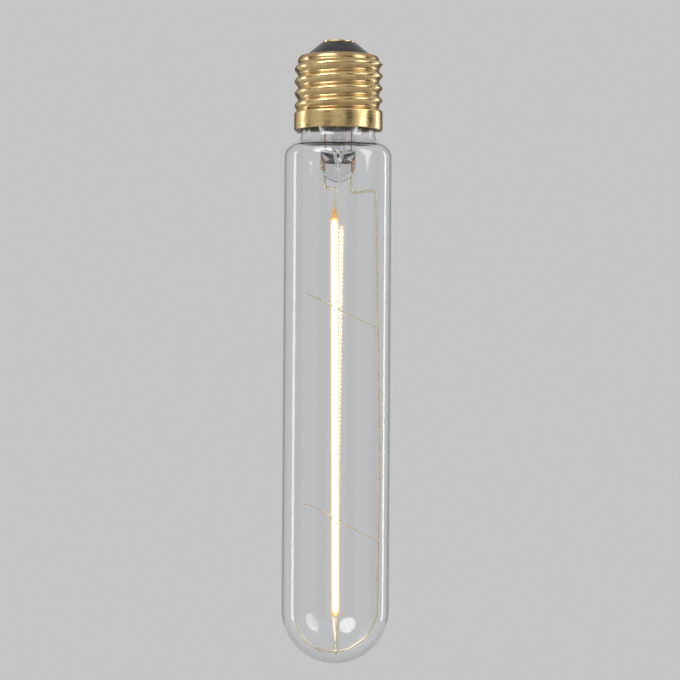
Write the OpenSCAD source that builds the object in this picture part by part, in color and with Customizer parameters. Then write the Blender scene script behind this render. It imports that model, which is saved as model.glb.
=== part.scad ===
// Tubular LED filament lamp with a 27 mm screw cap, hanging cap up.
// The origin is on the lamp's axis, at the flat top of the solder on the centre contact.
// +Z points up out of the cap, so the glass tip is at z = -lamp_length.
// The long J-shaped support wire lies in the XZ plane, with its straight run on the +X side.

/* [Glass] */
// Length of the lamp, from the top of the contact to the glass tip
lamp_length = 185; // [150:1:320]
// Outer diameter of the glass tube
tube_d = 32; // [26:0.5:42]
// Thickness of the glass wall
glass_wall = 1; // [0.8:0.1:1.2]
// Outer diameter of the glass neck inside the cap
neck_d = 22; // [21:0.1:22.2]
// Length of the neck that sits inside the cap
neck_in_cap = 7; // [5:0.5:8]
// Straight length of the neck below the cap's rim
neck_below_cap = 0.6; // [0.2:0.1:3]
// Radius of the two arcs of the shoulder
shoulder_r = 4.1; // [2:0.1:8]
// Steepest slope of the shoulder, from the lamp's axis
shoulder_slope = 66; // [30:1:80]

/* [Screw cap] */
// Height of the cap, from the top of the contact to the rim of the skirt
cap_height = 27; // [26:0.5:31]
// Outer diameter over the thread's crests
thread_d = 26.2; // [25.8:0.05:26.35]
// Depth of the thread, from crest to root
thread_depth = 1; // [0.6:0.1:1.1]
// Pitch of the thread
thread_pitch = 3.629; // [3:0.001:4.2]
// Length of the threaded stretch
thread_length = 16; // [14:0.5:18]
// Outer diameter of the plain skirt below the thread
skirt_d = 26.4; // [26.4:0.05:27.5]
// Length of the plain skirt
skirt_length = 4.8; // [4:0.2:6]
// Thickness of the shell's sheet metal
shell_wall = 0.3; // [0.2:0.05:0.4]
// Diameter of the opening in the shell's roof
roof_opening_d = 19.2; // [17:0.2:20]
// Diameter of the centre contact's disc
contact_d = 9.8; // [8:0.2:12]
// Thickness of the centre contact's disc
contact_t = 0.5; // [0.3:0.1:0.8]
// Height of the solder on the centre contact
contact_solder_h = 0.6; // [0.4:0.1:1]

/* [Glass stem] */
// Length of the stem, from the flare's rim to the bottom of the press
stem_length = 22.2; // [20:0.2:40]
// Outer diameter of the stem's tube, and width of its press
stem_d = 10.5; // [10:0.1:12]
// Wall of the stem's tube
stem_wall = 0.8; // [0.6:0.1:1]
// Thickness of the press
press_t = 4.4; // [3:0.1:6]
// Outer diameter of the exhaust tube
exhaust_d = 4.6; // [3.6:0.1:5]
// Wall of the exhaust tube
exhaust_wall = 0.8; // [0.6:0.1:1]
// Distance between the two lead wires in the press
lead_spacing = 8; // [7:0.1:8.2]

/* [Wires] */
// Diameter of the two lead wires inside the glass
lead_d = 0.7; // [0.5:0.05:0.9]
// Diameter of the sealed wires in the press and of the copper leads above them
seal_d = 0.5; // [0.3:0.05:0.6]
// Diameter of the wires on the driver board
board_wire_d = 0.5; // [0.3:0.05:0.6]
// Distance from the glass to the support wire's axis at the top of its long run
run_gap_top = 3.65; // [2:0.05:5]
// Distance from the glass to the support wire's axis at its widest place
run_gap_middle = 2; // [1:0.05:4]
// Distance from the glass to the axis of the support wire's curved foot, at the side
foot_gap_side = 2.5; // [1.5:0.1:4]
// Distance from the glass tip to the axis of the support wire's curved foot
foot_gap_tip = 2.2; // [1.5:0.1:6]
// Diameter of the anchor wires that steady the filament
anchor_d = 0.35; // [0.25:0.05:0.5]
// Distance from the bottom of the press to the upper anchor's weld
anchor_upper_drop = 43.2; // [30:0.2:60]
// Distance from the bottom of the coating up to the lower anchor's weld
anchor_lower_rise = 22.2; // [15:0.2:40]

/* [Filament] */
// Width of the glowing coating
coat_w = 2.4; // [1.9:0.1:3]
// Thickness of the glowing coating
coat_t = 2; // [1.4:0.1:2.6]
// Width of the strip that carries the LED chips
strip_w = 1.4; // [1:0.1:1.6]
// Thickness of the strip
strip_t = 0.3; // [0.2:0.05:0.5]
// Distance between LED chips
chip_pitch = 1.27; // [1:0.01:2]
// Length, width and thickness of an LED chip
chip_size = [0.8, 0.4, 0.15]; // [0.1:0.05:1]
// Distance from the bottom of the press to the top of the coating
coat_drop = 10.3; // [9:0.1:25]
// Distance from the bottom of the coating to the foot's axis
coat_rise = 10.7; // [9:0.1:25]
// Length of the upper metal tab outside the coating
tab_top_length = 3; // [2:0.1:5]
// Length of the lower metal tab outside the coating
tab_bottom_length = 7; // [5:0.1:8]

/* [Driver] */
// Wall of the insulating sleeve round the driver
sleeve_wall = 0.6; // [0.4:0.1:0.7]
// Thickness of the driver's board
board_t = 1; // [0.8:0.1:1.6]
// Distance from the glass neck's rim to the underside of the board
board_rise = 2.4; // [2:0.1:3]
// Diameter of the electrolytic capacitor
capacitor_d = 6.3; // [5:0.1:6.3]
// Length of the electrolytic capacitor
capacitor_length = 10; // [8:0.2:10.4]
// Diameter of the fusible resistor's body
fuse_d = 2.4; // [1.8:0.1:3]
// Length of the fusible resistor's body
fuse_length = 6; // [4:0.2:6.4]
// Bearing of the wire from the board to the shell's rim
rim_wire_bearing = 160; // [150:1:200]

/* [Fits] */
// Clearance between pieces that are joined or seated
fit_gap = 0.05; // [0.02:0.01:0.1]
// Clearance between wires that are welded side by side
weld_gap = 0.02; // [0.01:0.01:0.05]

/* [Hidden] */
$fn = 48;

// Glass envelope
tube_r = tube_d / 2;
neck_r = neck_d / 2;
z_rim = -cap_height;
z_neck_top = z_rim + neck_in_cap;
z_shoulder_top = z_rim - neck_below_cap;
shoulder_rise = tube_r - neck_r;
shoulder_turn = min(shoulder_slope, acos(1 - min(2, shoulder_rise / (2 * shoulder_r))));
shoulder_cone = (shoulder_rise - 2 * shoulder_r * (1 - cos(shoulder_turn))) / sin(shoulder_turn);
shoulder_length = 2 * shoulder_r * sin(shoulder_turn) + shoulder_cone * cos(shoulder_turn);
z_shoulder_bottom = z_shoulder_top - shoulder_length;
z_tip = -lamp_length;
z_dome = z_tip + tube_r;

// Glass stem
stem_r = stem_d / 2;
flare_inset = 0.2;
flare_lip = 0.8;
flare_height = 9;
flare_power = 2.2;
stem_bore_length = 12.8;
press_taper = 4;
z_flare_rim = z_neck_top - flare_inset;
z_flare_waist = z_flare_rim - flare_lip - flare_height;
z_stem_floor = z_flare_rim - stem_bore_length;
z_press_bottom = z_flare_rim - stem_length;
z_press_dome = z_press_bottom + stem_r;
exhaust_channel_length = 5.7;
z_blow_hole = z_stem_floor - exhaust_channel_length;
blow_hole_r = 0.7;
exhaust_r = exhaust_d / 2;
exhaust_bore_r = exhaust_r - exhaust_wall;
exhaust_length = 9.4;
exhaust_tip_length = 2.4;

// Wires, as straight stretches and bends
wire_sides = 12;
bend_step = 15;
lead_r = lead_d / 2;
seal_r = seal_d / 2;
board_wire_r = board_wire_d / 2;
// In a narrow stem the leads stand closer, clear of its bore
lead_x = min(lead_spacing / 2, stem_r - stem_wall - seal_r - fit_gap);
z_butt_weld = z_press_bottom + 3.9;
z_seal_top = z_stem_floor - 0.5;
short_run_drop = 2;
short_run_rise = 0.3;
short_lead_lap = [0.45, 0.05, 0.4];
short_bend_r = 0.9;
frame_run_drop = 3.3;
frame_run_slope = 0.13;
frame_bend_r = 1.2;
frame_corner_r = 1.3;

// Support wire
inner_r = tube_r - glass_wall;
run_x_top = inner_r - run_gap_top;
run_x_middle = inner_r - run_gap_middle;
run_bow_drop = 79.6;
run_bow_r = 400;
foot_r = inner_r - foot_gap_side;
foot_x = 0.1;
z_foot = z_tip + glass_wall + foot_gap_tip;
z_foot_centre = z_foot + foot_r;
foot_bends = [
    [-7.8, 1.005], [-40.1, 0.994], [-69.5, 0.982], [-85.9, 0.998],
    [-105.2, 1.036], [-123.2, 1.052], [-141.4, 1.019], [-158.4, 0.998]
];
foot_bend_r = 5;
foot_end = [-168, 0.985];

// Filament, hung a little out of plumb between the short lead and the foot
coat_top = [-0.95, 0, z_press_bottom - coat_drop];
coat_bottom = [0.1, 0, z_foot + coat_rise];
coat_length = norm(coat_bottom - coat_top);
filament_lean = atan2(coat_top[0] - coat_bottom[0], coat_top[2] - coat_bottom[2]);
coat_corner_r = 0.9 * coat_t / 2;
tab_in_coat = 1;
chip_margin = 1.6;
chip_count = floor((coat_length - 2 * chip_margin) / chip_pitch);
chip_start = (coat_length - (chip_count - 1) * chip_pitch) / 2;
tab_tip_w = 0.8;
tab_neck = [0.2, 1.2];
tab_foot_w = 2.2;
tab_foot_shoulder = [0.1, 0.9];
tab_foot_taper = 3;
tab_foot_end = [0.2, 0.85];

// Hook from the lower tab to the foot
hook_r = 0.25;
hook_x = 0.35;
hook_side_gap = 0.031;
hook_bearing = 53;
hook_half_w = (lead_r + hook_r + hook_side_gap) / sin(hook_bearing);
hook_bend_r = min(0.75, hook_half_w - weld_gap);
hook_lean_r = 2;
hook_lap = [0.55, 2.6];
hook_lean = [0.1, 0.4];
z_hook_bottom = z_foot - lead_r - hook_r - weld_gap;
z_hook_stub = z_foot + 2.2;

// Anchor wires
anchor_r = anchor_d / 2;
anchor_loop_r = max(coat_w, coat_t) / 2 + anchor_r + 0.1;
anchor_climb = anchor_d + 0.15;
anchor_loop_steps = 18;
anchor_sides = 8;
anchor_upper_slope = 0.466;
anchor_lower_slope = 0.516;
anchor_upper_end_x = -8.96;
anchor_lower_kink_x = -7.95;
anchor_lower_end = [-1.35, 0.2];

// Screw cap
thread_r = thread_d / 2;
root_r = thread_r - thread_depth;
skirt_r = skirt_d / 2;
skirt_bore_r = skirt_r - shell_wall;
roof_r = roof_opening_d / 2;
z_skirt_top = z_rim + skirt_length;
z_thread_top = z_skirt_top + thread_length;
roof_rise = 1.3;
z_roof = z_thread_top + roof_rise;
thread_rows_per_turn = 6;
thread_rows = ceil(thread_length / thread_pitch * thread_rows_per_turn);
thread_sides = 36;
thread_fade = 1.4;
skirt_seam = 0.05;
z_contact = -contact_solder_h;
z_contact_under = z_contact - contact_t;
contact_r = contact_d / 2;
contact_tube_r = 0.85;
contact_tube_length = 1.5;
z_insulator_top = z_contact_under - fit_gap;
insulator_ledge = 0.4;
insulator_shoulder_drop = 0.3;
insulator_depth = 2.9;
z_insulator_bottom = z_roof - insulator_depth;
insulator_r = root_r - shell_wall - 0.25;
contact_solder_r = 2.4;
contact_solder_flat_r = 1.2;

// Driver in the cap
rim_wire_room = 2 * board_wire_r + 3 * fit_gap;
sleeve_r = root_r - shell_wall - rim_wire_room - fit_gap;
sleeve_bore_r = sleeve_r - sleeve_wall;
z_sleeve_top = z_insulator_bottom - fit_gap;
z_sleeve_bottom = z_neck_top + fit_gap;
sleeve_ledge_w = 0.6;
sleeve_ledge_t = 0.8;
z_board_under = z_neck_top + board_rise;
z_board = z_board_under + board_t;
board_r = sleeve_bore_r - 2 * fit_gap;
board_hole_gap = 0.15;
outer_lead_x = 6.5;
outer_lead_spread = [0.2, 4];
outer_lead_bend_r = 1.5;
lead_stub = 0.8;
solder_r = 0.65;
solder_h = 0.6;
capacitor_y = -capacitor_d / 2 - 2.15;
capacitor_lead_y = [-1.25, 1.25];
capacitor_lead_x = 6.2;
capacitor_edge = 0.3;
capacitor_groove = [0.8, 1.6];
fuse_stand = 1.4;
fuse_edge = 0.3;
fuse_waist = 0.2;
fuse_cap = [0.4, 1.2, 1.5];
rectifier_size = [4.7, 3.9, 1.6];
rectifier_place = [-4, 4.6];
rectifier_legs = [-1.27, 1.27];
chip_body_size = [4.9, 3.9, 1.5];
chip_body_place = [3.6, 5.2];
chip_body_legs = [-1.905, -0.635, 0.635, 1.905];
leg_w = 0.4;
leg_t = 0.2;
leg_reach = 1;
part_standoff = 0.1;
resistor_size = [1.6, 3.2, 0.55];
resistor_places = [[-3.4, -0.2], [3.4, -0.2]];
ceramic_size = [3.2, 1.6, 1.2];
ceramic_places = [[0, 4.2], [0, -4.2], [-4.6, -3.4]];
rim_wire_board_r = 9;
rim_wire_rise = 1.6;
rim_wire_bend_r = 0.6;
rim_wire_hem_r = 0.4;
rim_wire_out_r = max(sleeve_r, neck_r) + fit_gap + board_wire_r;
rim_wire_end_r = skirt_r - 0.3;
z_rim_wire = z_rim - board_wire_r - 0.1;
side_solder_r = 0.75;

// Colours
glass_colour = [0.72, 0.78, 0.78, 0.35];
stem_colour = [0.75, 0.8, 0.8, 0.5];
wire_colour = [0.78, 0.76, 0.7];
copper_colour = [0.72, 0.45, 0.3];
brass_colour = [0.8, 0.64, 0.33];
solder_colour = [0.7, 0.71, 0.72];

function unit(v) = v / norm(v);

function arc(centre, r, from, to, steps = 12) = [
    for (i = [0 : steps]) let (a = from + (to - from) * i / steps)
        centre + r * [cos(a), sin(a)]
];

function reversed(list) = [for (i = [len(list) - 1 : -1 : 0]) list[i]];

function ease(t) = let (u = max(0, min(1, t))) u * u * (3 - 2 * u);

// Points of a bend that starts at a point and turns from direction d1 to direction d2
function bend_points(start, d1, d2, bend_r) =
    let (
        turn = acos(d1 * d2),
        inward = unit(d2 - (d1 * d2) * d1),
        centre = start + bend_r * inward,
        steps = max(2, ceil(turn / bend_step))
    )
    [
        for (i = [0 : steps]) let (a = turn * i / steps)
            centre + bend_r * (sin(a) * d1 - cos(a) * inward)
    ];

// Route through the given corners, with one bend radius for each inner corner
function bent_route(corners, bend_radii) =
    let (
        last = len(corners) - 1,
        ways = [for (i = [0 : last - 1]) unit(corners[i + 1] - corners[i])]
    )
    [
        corners[0],
        for (i = [1 : last - 1])
            let (trim = bend_radii[i - 1] * tan(acos(ways[i - 1] * ways[i]) / 2))
                each bend_points(
                    corners[i] - trim * ways[i - 1], ways[i - 1], ways[i], bend_radii[i - 1]
                ),
        corners[last]
    ];

function tangent(route, i) =
    let (last = len(route) - 1)
    i == 0 ? unit(route[1] - route[0])
        : i == last ? unit(route[last] - route[last - 1])
        : unit(unit(route[i + 1] - route[i]) + unit(route[i] - route[i - 1]));

// Side vectors that turn as little as they can from one ring of a wire to the next
function sides_along(route, i = 0, side = [0.1, 1, 0], found = []) =
    i == len(route) ? found
        : let (t = tangent(route, i), s = unit(side - (side * t) * t))
            sides_along(route, i + 1, s, concat(found, [s]));

// Wire with a ring of points at each point of its route
module wire(route, r, sides = wire_sides) {
    side = sides_along(route);
    points = [
        for (i = [0 : len(route) - 1])
            let (t = tangent(route, i), u = side[i], v = cross(t, u))
                for (j = [0 : sides - 1])
                    route[i] + r * (cos(j * 360 / sides) * u + sin(j * 360 / sides) * v)
    ];
    walls = [
        for (i = [0 : len(route) - 2], j = [0 : sides - 1])
            let (a = i * sides + j, b = i * sides + (j + 1) % sides)
                each [[a, a + sides, b], [b, a + sides, b + sides]]
    ];
    last = (len(route) - 1) * sides;
    near_end = [for (j = [1 : sides - 2]) [0, j, j + 1]];
    far_end = [for (j = [1 : sides - 2]) [last, last + j + 1, last + j]];
    polyhedron(points, concat(walls, near_end, far_end));
}

module bent_wire(corners, bend_radii, r) {
    wire(bent_route(corners, bend_radii), r);
}

// Envelope
function envelope_side(inset) = concat(
    [[neck_r - inset, z_neck_top]],
    arc([neck_r + shoulder_r, z_shoulder_top], shoulder_r + inset, 180, 180 + shoulder_turn),
    arc([tube_r - shoulder_r, z_shoulder_bottom], shoulder_r - inset, shoulder_turn, 0),
    arc([0, z_dome], tube_r - inset, 0, -90, 32)
);

module envelope() {
    color(glass_colour)
        rotate_extrude()
            polygon(concat(envelope_side(0), reversed(envelope_side(glass_wall))));
}

// Stem
function flare_side(inset) = [
    for (i = [0 : 10]) let (u = i / 10)
        [
            stem_r - inset + (neck_r - glass_wall - fit_gap - stem_r) * pow(u, flare_power),
            z_flare_waist + flare_height * u
        ]
];

module stem_blank() {
    rim_r = neck_r - glass_wall - fit_gap;
    rotate_extrude()
        polygon(concat(
            [[0, z_stem_floor], [stem_r - stem_wall, z_stem_floor]],
            flare_side(stem_wall),
            [[rim_r - stem_wall, z_flare_rim], [rim_r, z_flare_rim]],
            reversed(flare_side(0)),
            arc([0, z_press_dome], stem_r, 0, -90, 16)
        ));
}

// What the press loses on one side when the hot glass is pinched flat
module press_pinch() {
    reach = stem_r + 1;
    rotate([90, 0, 90])
        linear_extrude(height = 2 * reach, center = true)
            polygon([
                [stem_r + 0.05, z_stem_floor],
                [press_t / 2, z_stem_floor - press_taper],
                [press_t / 2, z_press_bottom - 1],
                [reach, z_press_bottom - 1],
                [reach, z_stem_floor]
            ]);
}

module stem() {
    color(stem_colour)
        difference() {
            stem_blank();
            press_pinch();
            mirror([0, 1, 0]) press_pinch();
            translate([0, 0, z_blow_hole])
                cylinder(h = exhaust_channel_length + 0.01, r1 = blow_hole_r, r2 = exhaust_bore_r - 0.1);
            translate([0, 0.1, z_blow_hole + blow_hole_r])
                rotate([90, 0, 0])
                    cylinder(h = stem_r + 1, r = blow_hole_r - 0.1);
            for (x = [-lead_x, lead_x]) {
                translate([x, 0, z_press_bottom - 1])
                    cylinder(h = z_butt_weld - z_press_bottom + 1, r = lead_r + fit_gap);
                translate([x, 0, z_butt_weld - 0.01])
                    cylinder(h = z_stem_floor - z_butt_weld + 1, r = seal_r + fit_gap);
            }
        }
}

module exhaust_tube() {
    z_base = z_stem_floor + fit_gap;
    z_shoulder = z_base + exhaust_length - exhaust_tip_length;
    color(stem_colour)
        rotate_extrude()
            polygon(concat(
                [[exhaust_bore_r, z_base], [exhaust_r, z_base]],
                [
                    for (i = [0 : 8])
                        [exhaust_r * cos(90 * i / 8), z_shoulder + exhaust_tip_length * sin(90 * i / 8)]
                ],
                [
                    for (i = [8 : -1 : 0])
                        [
                            exhaust_bore_r * cos(90 * i / 8),
                            z_shoulder + (exhaust_tip_length - exhaust_wall) * sin(90 * i / 8)
                        ]
                ]
            ));
}

// Wires sealed in the press, and the leads above and below them
module dumet_seals() {
    color(copper_colour)
        for (x = [-lead_x, lead_x])
            translate([x, 0, z_butt_weld + weld_gap])
                cylinder(h = z_seal_top - z_butt_weld - 2 * weld_gap, r = seal_r);
}

module outer_lead(hand) {
    bent_wire(
        [
            [hand * lead_x, 0, z_seal_top],
            [hand * lead_x, 0, z_flare_rim - outer_lead_spread[1]],
            [hand * outer_lead_x, 0, z_flare_rim - outer_lead_spread[0]],
            [hand * outer_lead_x, 0, z_board + lead_stub]
        ],
        [outer_lead_bend_r, outer_lead_bend_r],
        seal_r
    );
}

module outer_lead_live() {
    color(copper_colour) outer_lead(-1);
}

module outer_lead_neutral() {
    color(copper_colour) outer_lead(1);
}

module lead_short() {
    lap_y = -(strip_t / 2 + lead_r + weld_gap);
    color(wire_colour)
        bent_wire(
            [
                [-lead_x, 0, z_butt_weld],
                [-lead_x, 0, z_press_bottom - short_run_drop + short_run_rise],
                [coat_top[0] + short_lead_lap[0], lap_y, z_press_bottom - short_run_drop],
                [coat_top[0] + short_lead_lap[1], lap_y, coat_top[2] + short_lead_lap[2]]
            ],
            [short_bend_r, short_bend_r],
            lead_r
        );
}

// A point of the hand-bent foot, from its bearing and its reach as a share of the foot's radius
function foot_point(place) =
    let (bearing = place[0], reach = foot_r * place[1])
        [foot_x + reach * cos(bearing), 0, z_foot_centre + reach * sin(bearing)];

module frame_wire() {
    z_run = z_press_bottom - frame_run_drop;
    color(wire_colour)
        bent_wire(
            concat(
                [
                    [lead_x, 0, z_butt_weld],
                    [lead_x, 0, z_run],
                    [run_x_top, 0, z_run + frame_run_slope * (run_x_top - lead_x)],
                    [run_x_middle, 0, z_press_bottom - run_bow_drop]
                ],
                [for (place = foot_bends) foot_point(place)],
                [foot_point(foot_end)]
            ),
            concat([frame_bend_r, frame_corner_r, run_bow_r], [for (place = foot_bends) foot_bend_r]),
            lead_r
        );
}

// Anchors
function filament_x(z) =
    coat_top[0] + (coat_bottom[0] - coat_top[0]) * (z - coat_top[2]) / (coat_bottom[2] - coat_top[2]);

// Straight from its weld to the filament, once round it, and straight on
function anchor_path(weld, slope, tail) =
    let (
        x = filament_x(weld[2] + slope * weld[0]),
        z = weld[2] + slope * (weld[0] - x)
    )
    concat(
        [weld],
        [
            for (i = [0 : anchor_loop_steps])
                let (a = 360 * i / anchor_loop_steps)
                    [
                        x - anchor_loop_r * sin(a),
                        -anchor_loop_r * cos(a),
                        z + slope * anchor_loop_r * sin(a) + anchor_climb * (a / 360 - 0.5)
                    ]
        ],
        [
            for (p = tail)
                [p[0], -anchor_loop_r, z + slope * (x - p[0]) + anchor_climb / 2 + p[1]]
        ]
    );

function run_x(z) =
    let (
        z_top = z_press_bottom - frame_run_drop,
        z_bow = z_press_bottom - run_bow_drop,
        first = foot_point(foot_bends[0])
    )
        z > z_bow
            ? run_x_top + (run_x_middle - run_x_top) * (z_top - z) / (z_top - z_bow)
            : run_x_middle + (first[0] - run_x_middle) * (z_bow - z) / (z_bow - first[2]);

module anchor(z_weld, slope, tail) {
    weld = [run_x(z_weld), -(lead_r + anchor_r + weld_gap), z_weld];
    wire(anchor_path(weld, slope, tail), anchor_r, anchor_sides);
}

module anchor_upper() {
    color(wire_colour)
        anchor(z_press_bottom - anchor_upper_drop, anchor_upper_slope, [[anchor_upper_end_x, 0]]);
}

module anchor_lower() {
    end_x = anchor_lower_kink_x + anchor_lower_end[0];
    end_drop = anchor_lower_slope * anchor_lower_end[0] + anchor_lower_end[1];
    color(wire_colour)
        anchor(
            coat_bottom[2] + anchor_lower_rise,
            anchor_lower_slope,
            [[anchor_lower_kink_x, 0], [end_x, end_drop]]
        );
}

// Filament, drawn with its own axis along Z and the coating's top at z = 0
module on_filament() {
    translate(coat_top)
        rotate([0, filament_lean, 0])
            children();
}

module coat_outline() {
    flat = [coat_w - 2 * coat_corner_r, coat_t - 2 * coat_corner_r];
    union() {
        square([flat[0], coat_t], center = true);
        square([coat_w, flat[1]], center = true);
        for (x = [-1, 1], y = [-1, 1])
            translate([x * flat[0] / 2, y * flat[1] / 2]) circle(r = coat_corner_r);
    }
}

// One half of the coating, hand -1 in front and 1 behind
module coat_half(hand) {
    translate([0, 0, -coat_length])
        linear_extrude(height = coat_length)
            difference() {
                coat_outline();
                translate([-coat_w, hand > 0 ? -coat_t : 0]) square([2 * coat_w, coat_t]);
                square([strip_w + 2 * fit_gap, strip_t + 2 * fit_gap], center = true);
                if (hand < 0)
                    translate([-chip_size[1] / 2 - fit_gap, -strip_t / 2 - chip_size[2] - fit_gap])
                        square([chip_size[1] + 2 * fit_gap, chip_size[2] + fit_gap]);
            }
}

module phosphor_front() {
    color([1, 0.86, 0.5]) on_filament() coat_half(-1);
}

module phosphor_rear() {
    color([1, 0.8, 0.42]) on_filament() coat_half(1);
}

module filament_strip() {
    length = coat_length - 2 * tab_in_coat - 2 * fit_gap;
    color([0.92, 0.92, 0.9])
        on_filament()
            translate([-strip_w / 2, -strip_t / 2, -coat_length / 2 - length / 2])
                cube([strip_w, strip_t, length]);
}

module filament_chips() {
    color([0.55, 0.6, 0.8])
        on_filament()
            for (i = [0 : chip_count - 1])
                translate([
                    -chip_size[1] / 2,
                    -strip_t / 2 - chip_size[2],
                    -chip_start - i * chip_pitch - chip_size[0] / 2
                ])
                    cube([chip_size[1], chip_size[2], chip_size[0]]);
}

// Flat metal tab with the given outline of [across, down] points
module tab(outline) {
    on_filament()
        rotate([90, 0, 0])
            linear_extrude(height = strip_t, center = true)
                polygon([for (p = outline) [p[0], -p[1]]]);
}

module filament_tab_top() {
    half = strip_w / 2;
    color(wire_colour)
        tab([
            [-half, tab_in_coat], [half, tab_in_coat], [half, -tab_neck[0]],
            [tab_tip_w / 2, -tab_neck[1]], [tab_tip_w / 2, -tab_top_length],
            [-tab_tip_w / 2, -tab_top_length], [-tab_tip_w / 2, -tab_neck[1]], [-half, -tab_neck[0]]
        ]);
}

module filament_tab_bottom() {
    half = strip_w / 2;
    wide = tab_foot_w / 2;
    end = coat_length + tab_bottom_length;
    color(wire_colour)
        tab([
            [-half, coat_length - tab_in_coat], [half, coat_length - tab_in_coat],
            [half, coat_length + tab_foot_shoulder[0]], [wide, coat_length + tab_foot_shoulder[1]],
            [wide, coat_length + tab_foot_taper], [tab_foot_end[1], end], [tab_foot_end[0], end],
            [-half / 3, coat_length + tab_foot_shoulder[1]], [-half, coat_length + tab_foot_shoulder[0]]
        ]);
}

module filament_hook() {
    lap_y = -(strip_t / 2 + hook_r + weld_gap);
    side = hook_half_w * [cos(hook_bearing), -sin(hook_bearing)];
    tab_end = coat_bottom[2] - tab_bottom_length;
    color(wire_colour)
        bent_wire(
            [
                [hook_lap[0], lap_y, tab_end + hook_lap[1]],
                [hook_x + side[0] - hook_lean[0], side[1], tab_end - hook_lean[1]],
                [hook_x + side[0], side[1], z_hook_bottom],
                [hook_x - side[0], -side[1], z_hook_bottom],
                [hook_x - side[0], -side[1], z_hook_stub]
            ],
            [hook_lean_r, hook_bend_r, hook_bend_r],
            hook_r
        );
}

// Screw cap
function thread_radius(z, angle) =
    let (
        wave = 0.5 + 0.5 * cos(360 * z / thread_pitch - angle),
        grow = ease((z_thread_top - z) / thread_fade),
        flatten = ease((z_skirt_top + thread_fade - z) / thread_fade),
        threaded = root_r + thread_depth * wave * grow
    )
    threaded + (skirt_r - skirt_seam - threaded) * flatten;

// One closed loop of rings: roof, thread, and back up inside
function shell_rows() =
    let (dz = thread_length / thread_rows)
    concat(
        [[roof_r, z_roof, 0]],
        [for (k = [0 : thread_rows]) [-1, z_thread_top - k * dz, 0]],
        [[-1, z_skirt_top, shell_wall - 2.4 * skirt_seam]],
        [for (k = [thread_rows - 1 : -1 : 0]) [-1, z_thread_top - k * dz, shell_wall]],
        [[roof_r, z_roof - shell_wall - fit_gap, 0]]
    );

module shell_thread() {
    rows = shell_rows();
    count = len(rows);
    points = [
        for (row = rows, j = [0 : thread_sides - 1])
            let (a = 360 * j / thread_sides, r = row[0] > 0 ? row[0] : thread_radius(row[1], a) - row[2])
                [r * cos(a), r * sin(a), row[1]]
    ];
    faces = [
        for (i = [0 : count - 1], j = [0 : thread_sides - 1])
            let (
                next_i = (i + 1) % count,
                next_j = (j + 1) % thread_sides,
                a = i * thread_sides + j,
                b = i * thread_sides + next_j,
                c = next_i * thread_sides + next_j,
                d = next_i * thread_sides + j
            )
                each [[a, b, c], [a, c, d]]
    ];
    polyhedron(points, faces);
}

module screw_shell() {
    color(brass_colour)
        union() {
            shell_thread();
            translate([0, 0, z_rim])
                difference() {
                    cylinder(h = skirt_length, r = skirt_r);
                    translate([0, 0, -1]) cylinder(h = skirt_length + 2, r = skirt_bore_r);
                }
        }
}

module cap_insulator() {
    throat_r = roof_r - 2 * fit_gap;
    z_under_roof = z_roof - shell_wall - 3 * fit_gap;
    color([0.06, 0.06, 0.07])
        rotate_extrude()
            polygon([
                [contact_tube_r + fit_gap, z_insulator_top],
                [contact_r + insulator_ledge, z_insulator_top],
                [throat_r, z_roof + insulator_shoulder_drop],
                [throat_r, z_under_roof],
                [insulator_r, z_thread_top - fit_gap],
                [insulator_r, z_insulator_bottom],
                [contact_tube_r + fit_gap, z_insulator_bottom]
            ]);
}

module centre_contact() {
    bore_r = board_wire_r + fit_gap;
    z_tube = z_contact_under - contact_tube_length;
    color(brass_colour)
        rotate_extrude()
            polygon([
                [bore_r, z_contact],
                [contact_r - 0.15, z_contact],
                [contact_r, z_contact - 0.15],
                [contact_r, z_contact_under],
                [contact_tube_r, z_contact_under],
                [contact_tube_r, z_tube],
                [bore_r, z_tube]
            ]);
}

module centre_solder() {
    color(solder_colour)
        rotate_extrude()
            polygon(concat(
                [[0, z_contact]],
                [
                    for (i = [0 : 8]) let (a = 90 * i / 8)
                        [
                            contact_solder_flat_r + (contact_solder_r - contact_solder_flat_r) * cos(a),
                            z_contact + contact_solder_h * sin(a)
                        ]
                ],
                [[0, 0]]
            ));
}

module cement_ring() {
    thread_bore_r = root_r - shell_wall - 2 * fit_gap;
    color([0.82, 0.78, 0.68])
        difference() {
            rotate_extrude()
                polygon([
                    [neck_r + fit_gap, z_neck_top - fit_gap],
                    [thread_bore_r, z_neck_top - fit_gap],
                    [thread_bore_r, z_skirt_top],
                    [skirt_bore_r - fit_gap, z_skirt_top - 0.4],
                    [skirt_bore_r - fit_gap, z_rim + 0.2],
                    [neck_r + fit_gap, z_rim + 0.2]
                ]);
            rotate([0, 0, rim_wire_bearing])
                translate([rim_wire_out_r, 0, z_rim - 1])
                    cylinder(h = neck_in_cap + 2, r = board_wire_r + fit_gap);
        }
}

// Wire from the board over the sleeve's edge, down past the neck and under the rim
module rim_wire() {
    color(copper_colour)
        rotate([0, 0, rim_wire_bearing])
            bent_wire(
                [
                    [rim_wire_board_r, 0, z_board_under - lead_stub],
                    [rim_wire_board_r, 0, z_board + rim_wire_rise],
                    [rim_wire_out_r, 0, z_board + rim_wire_rise],
                    [rim_wire_out_r, 0, z_rim_wire],
                    [rim_wire_end_r, 0, z_rim_wire]
                ],
                [rim_wire_bend_r, rim_wire_bend_r, rim_wire_hem_r],
                board_wire_r
            );
}

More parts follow.
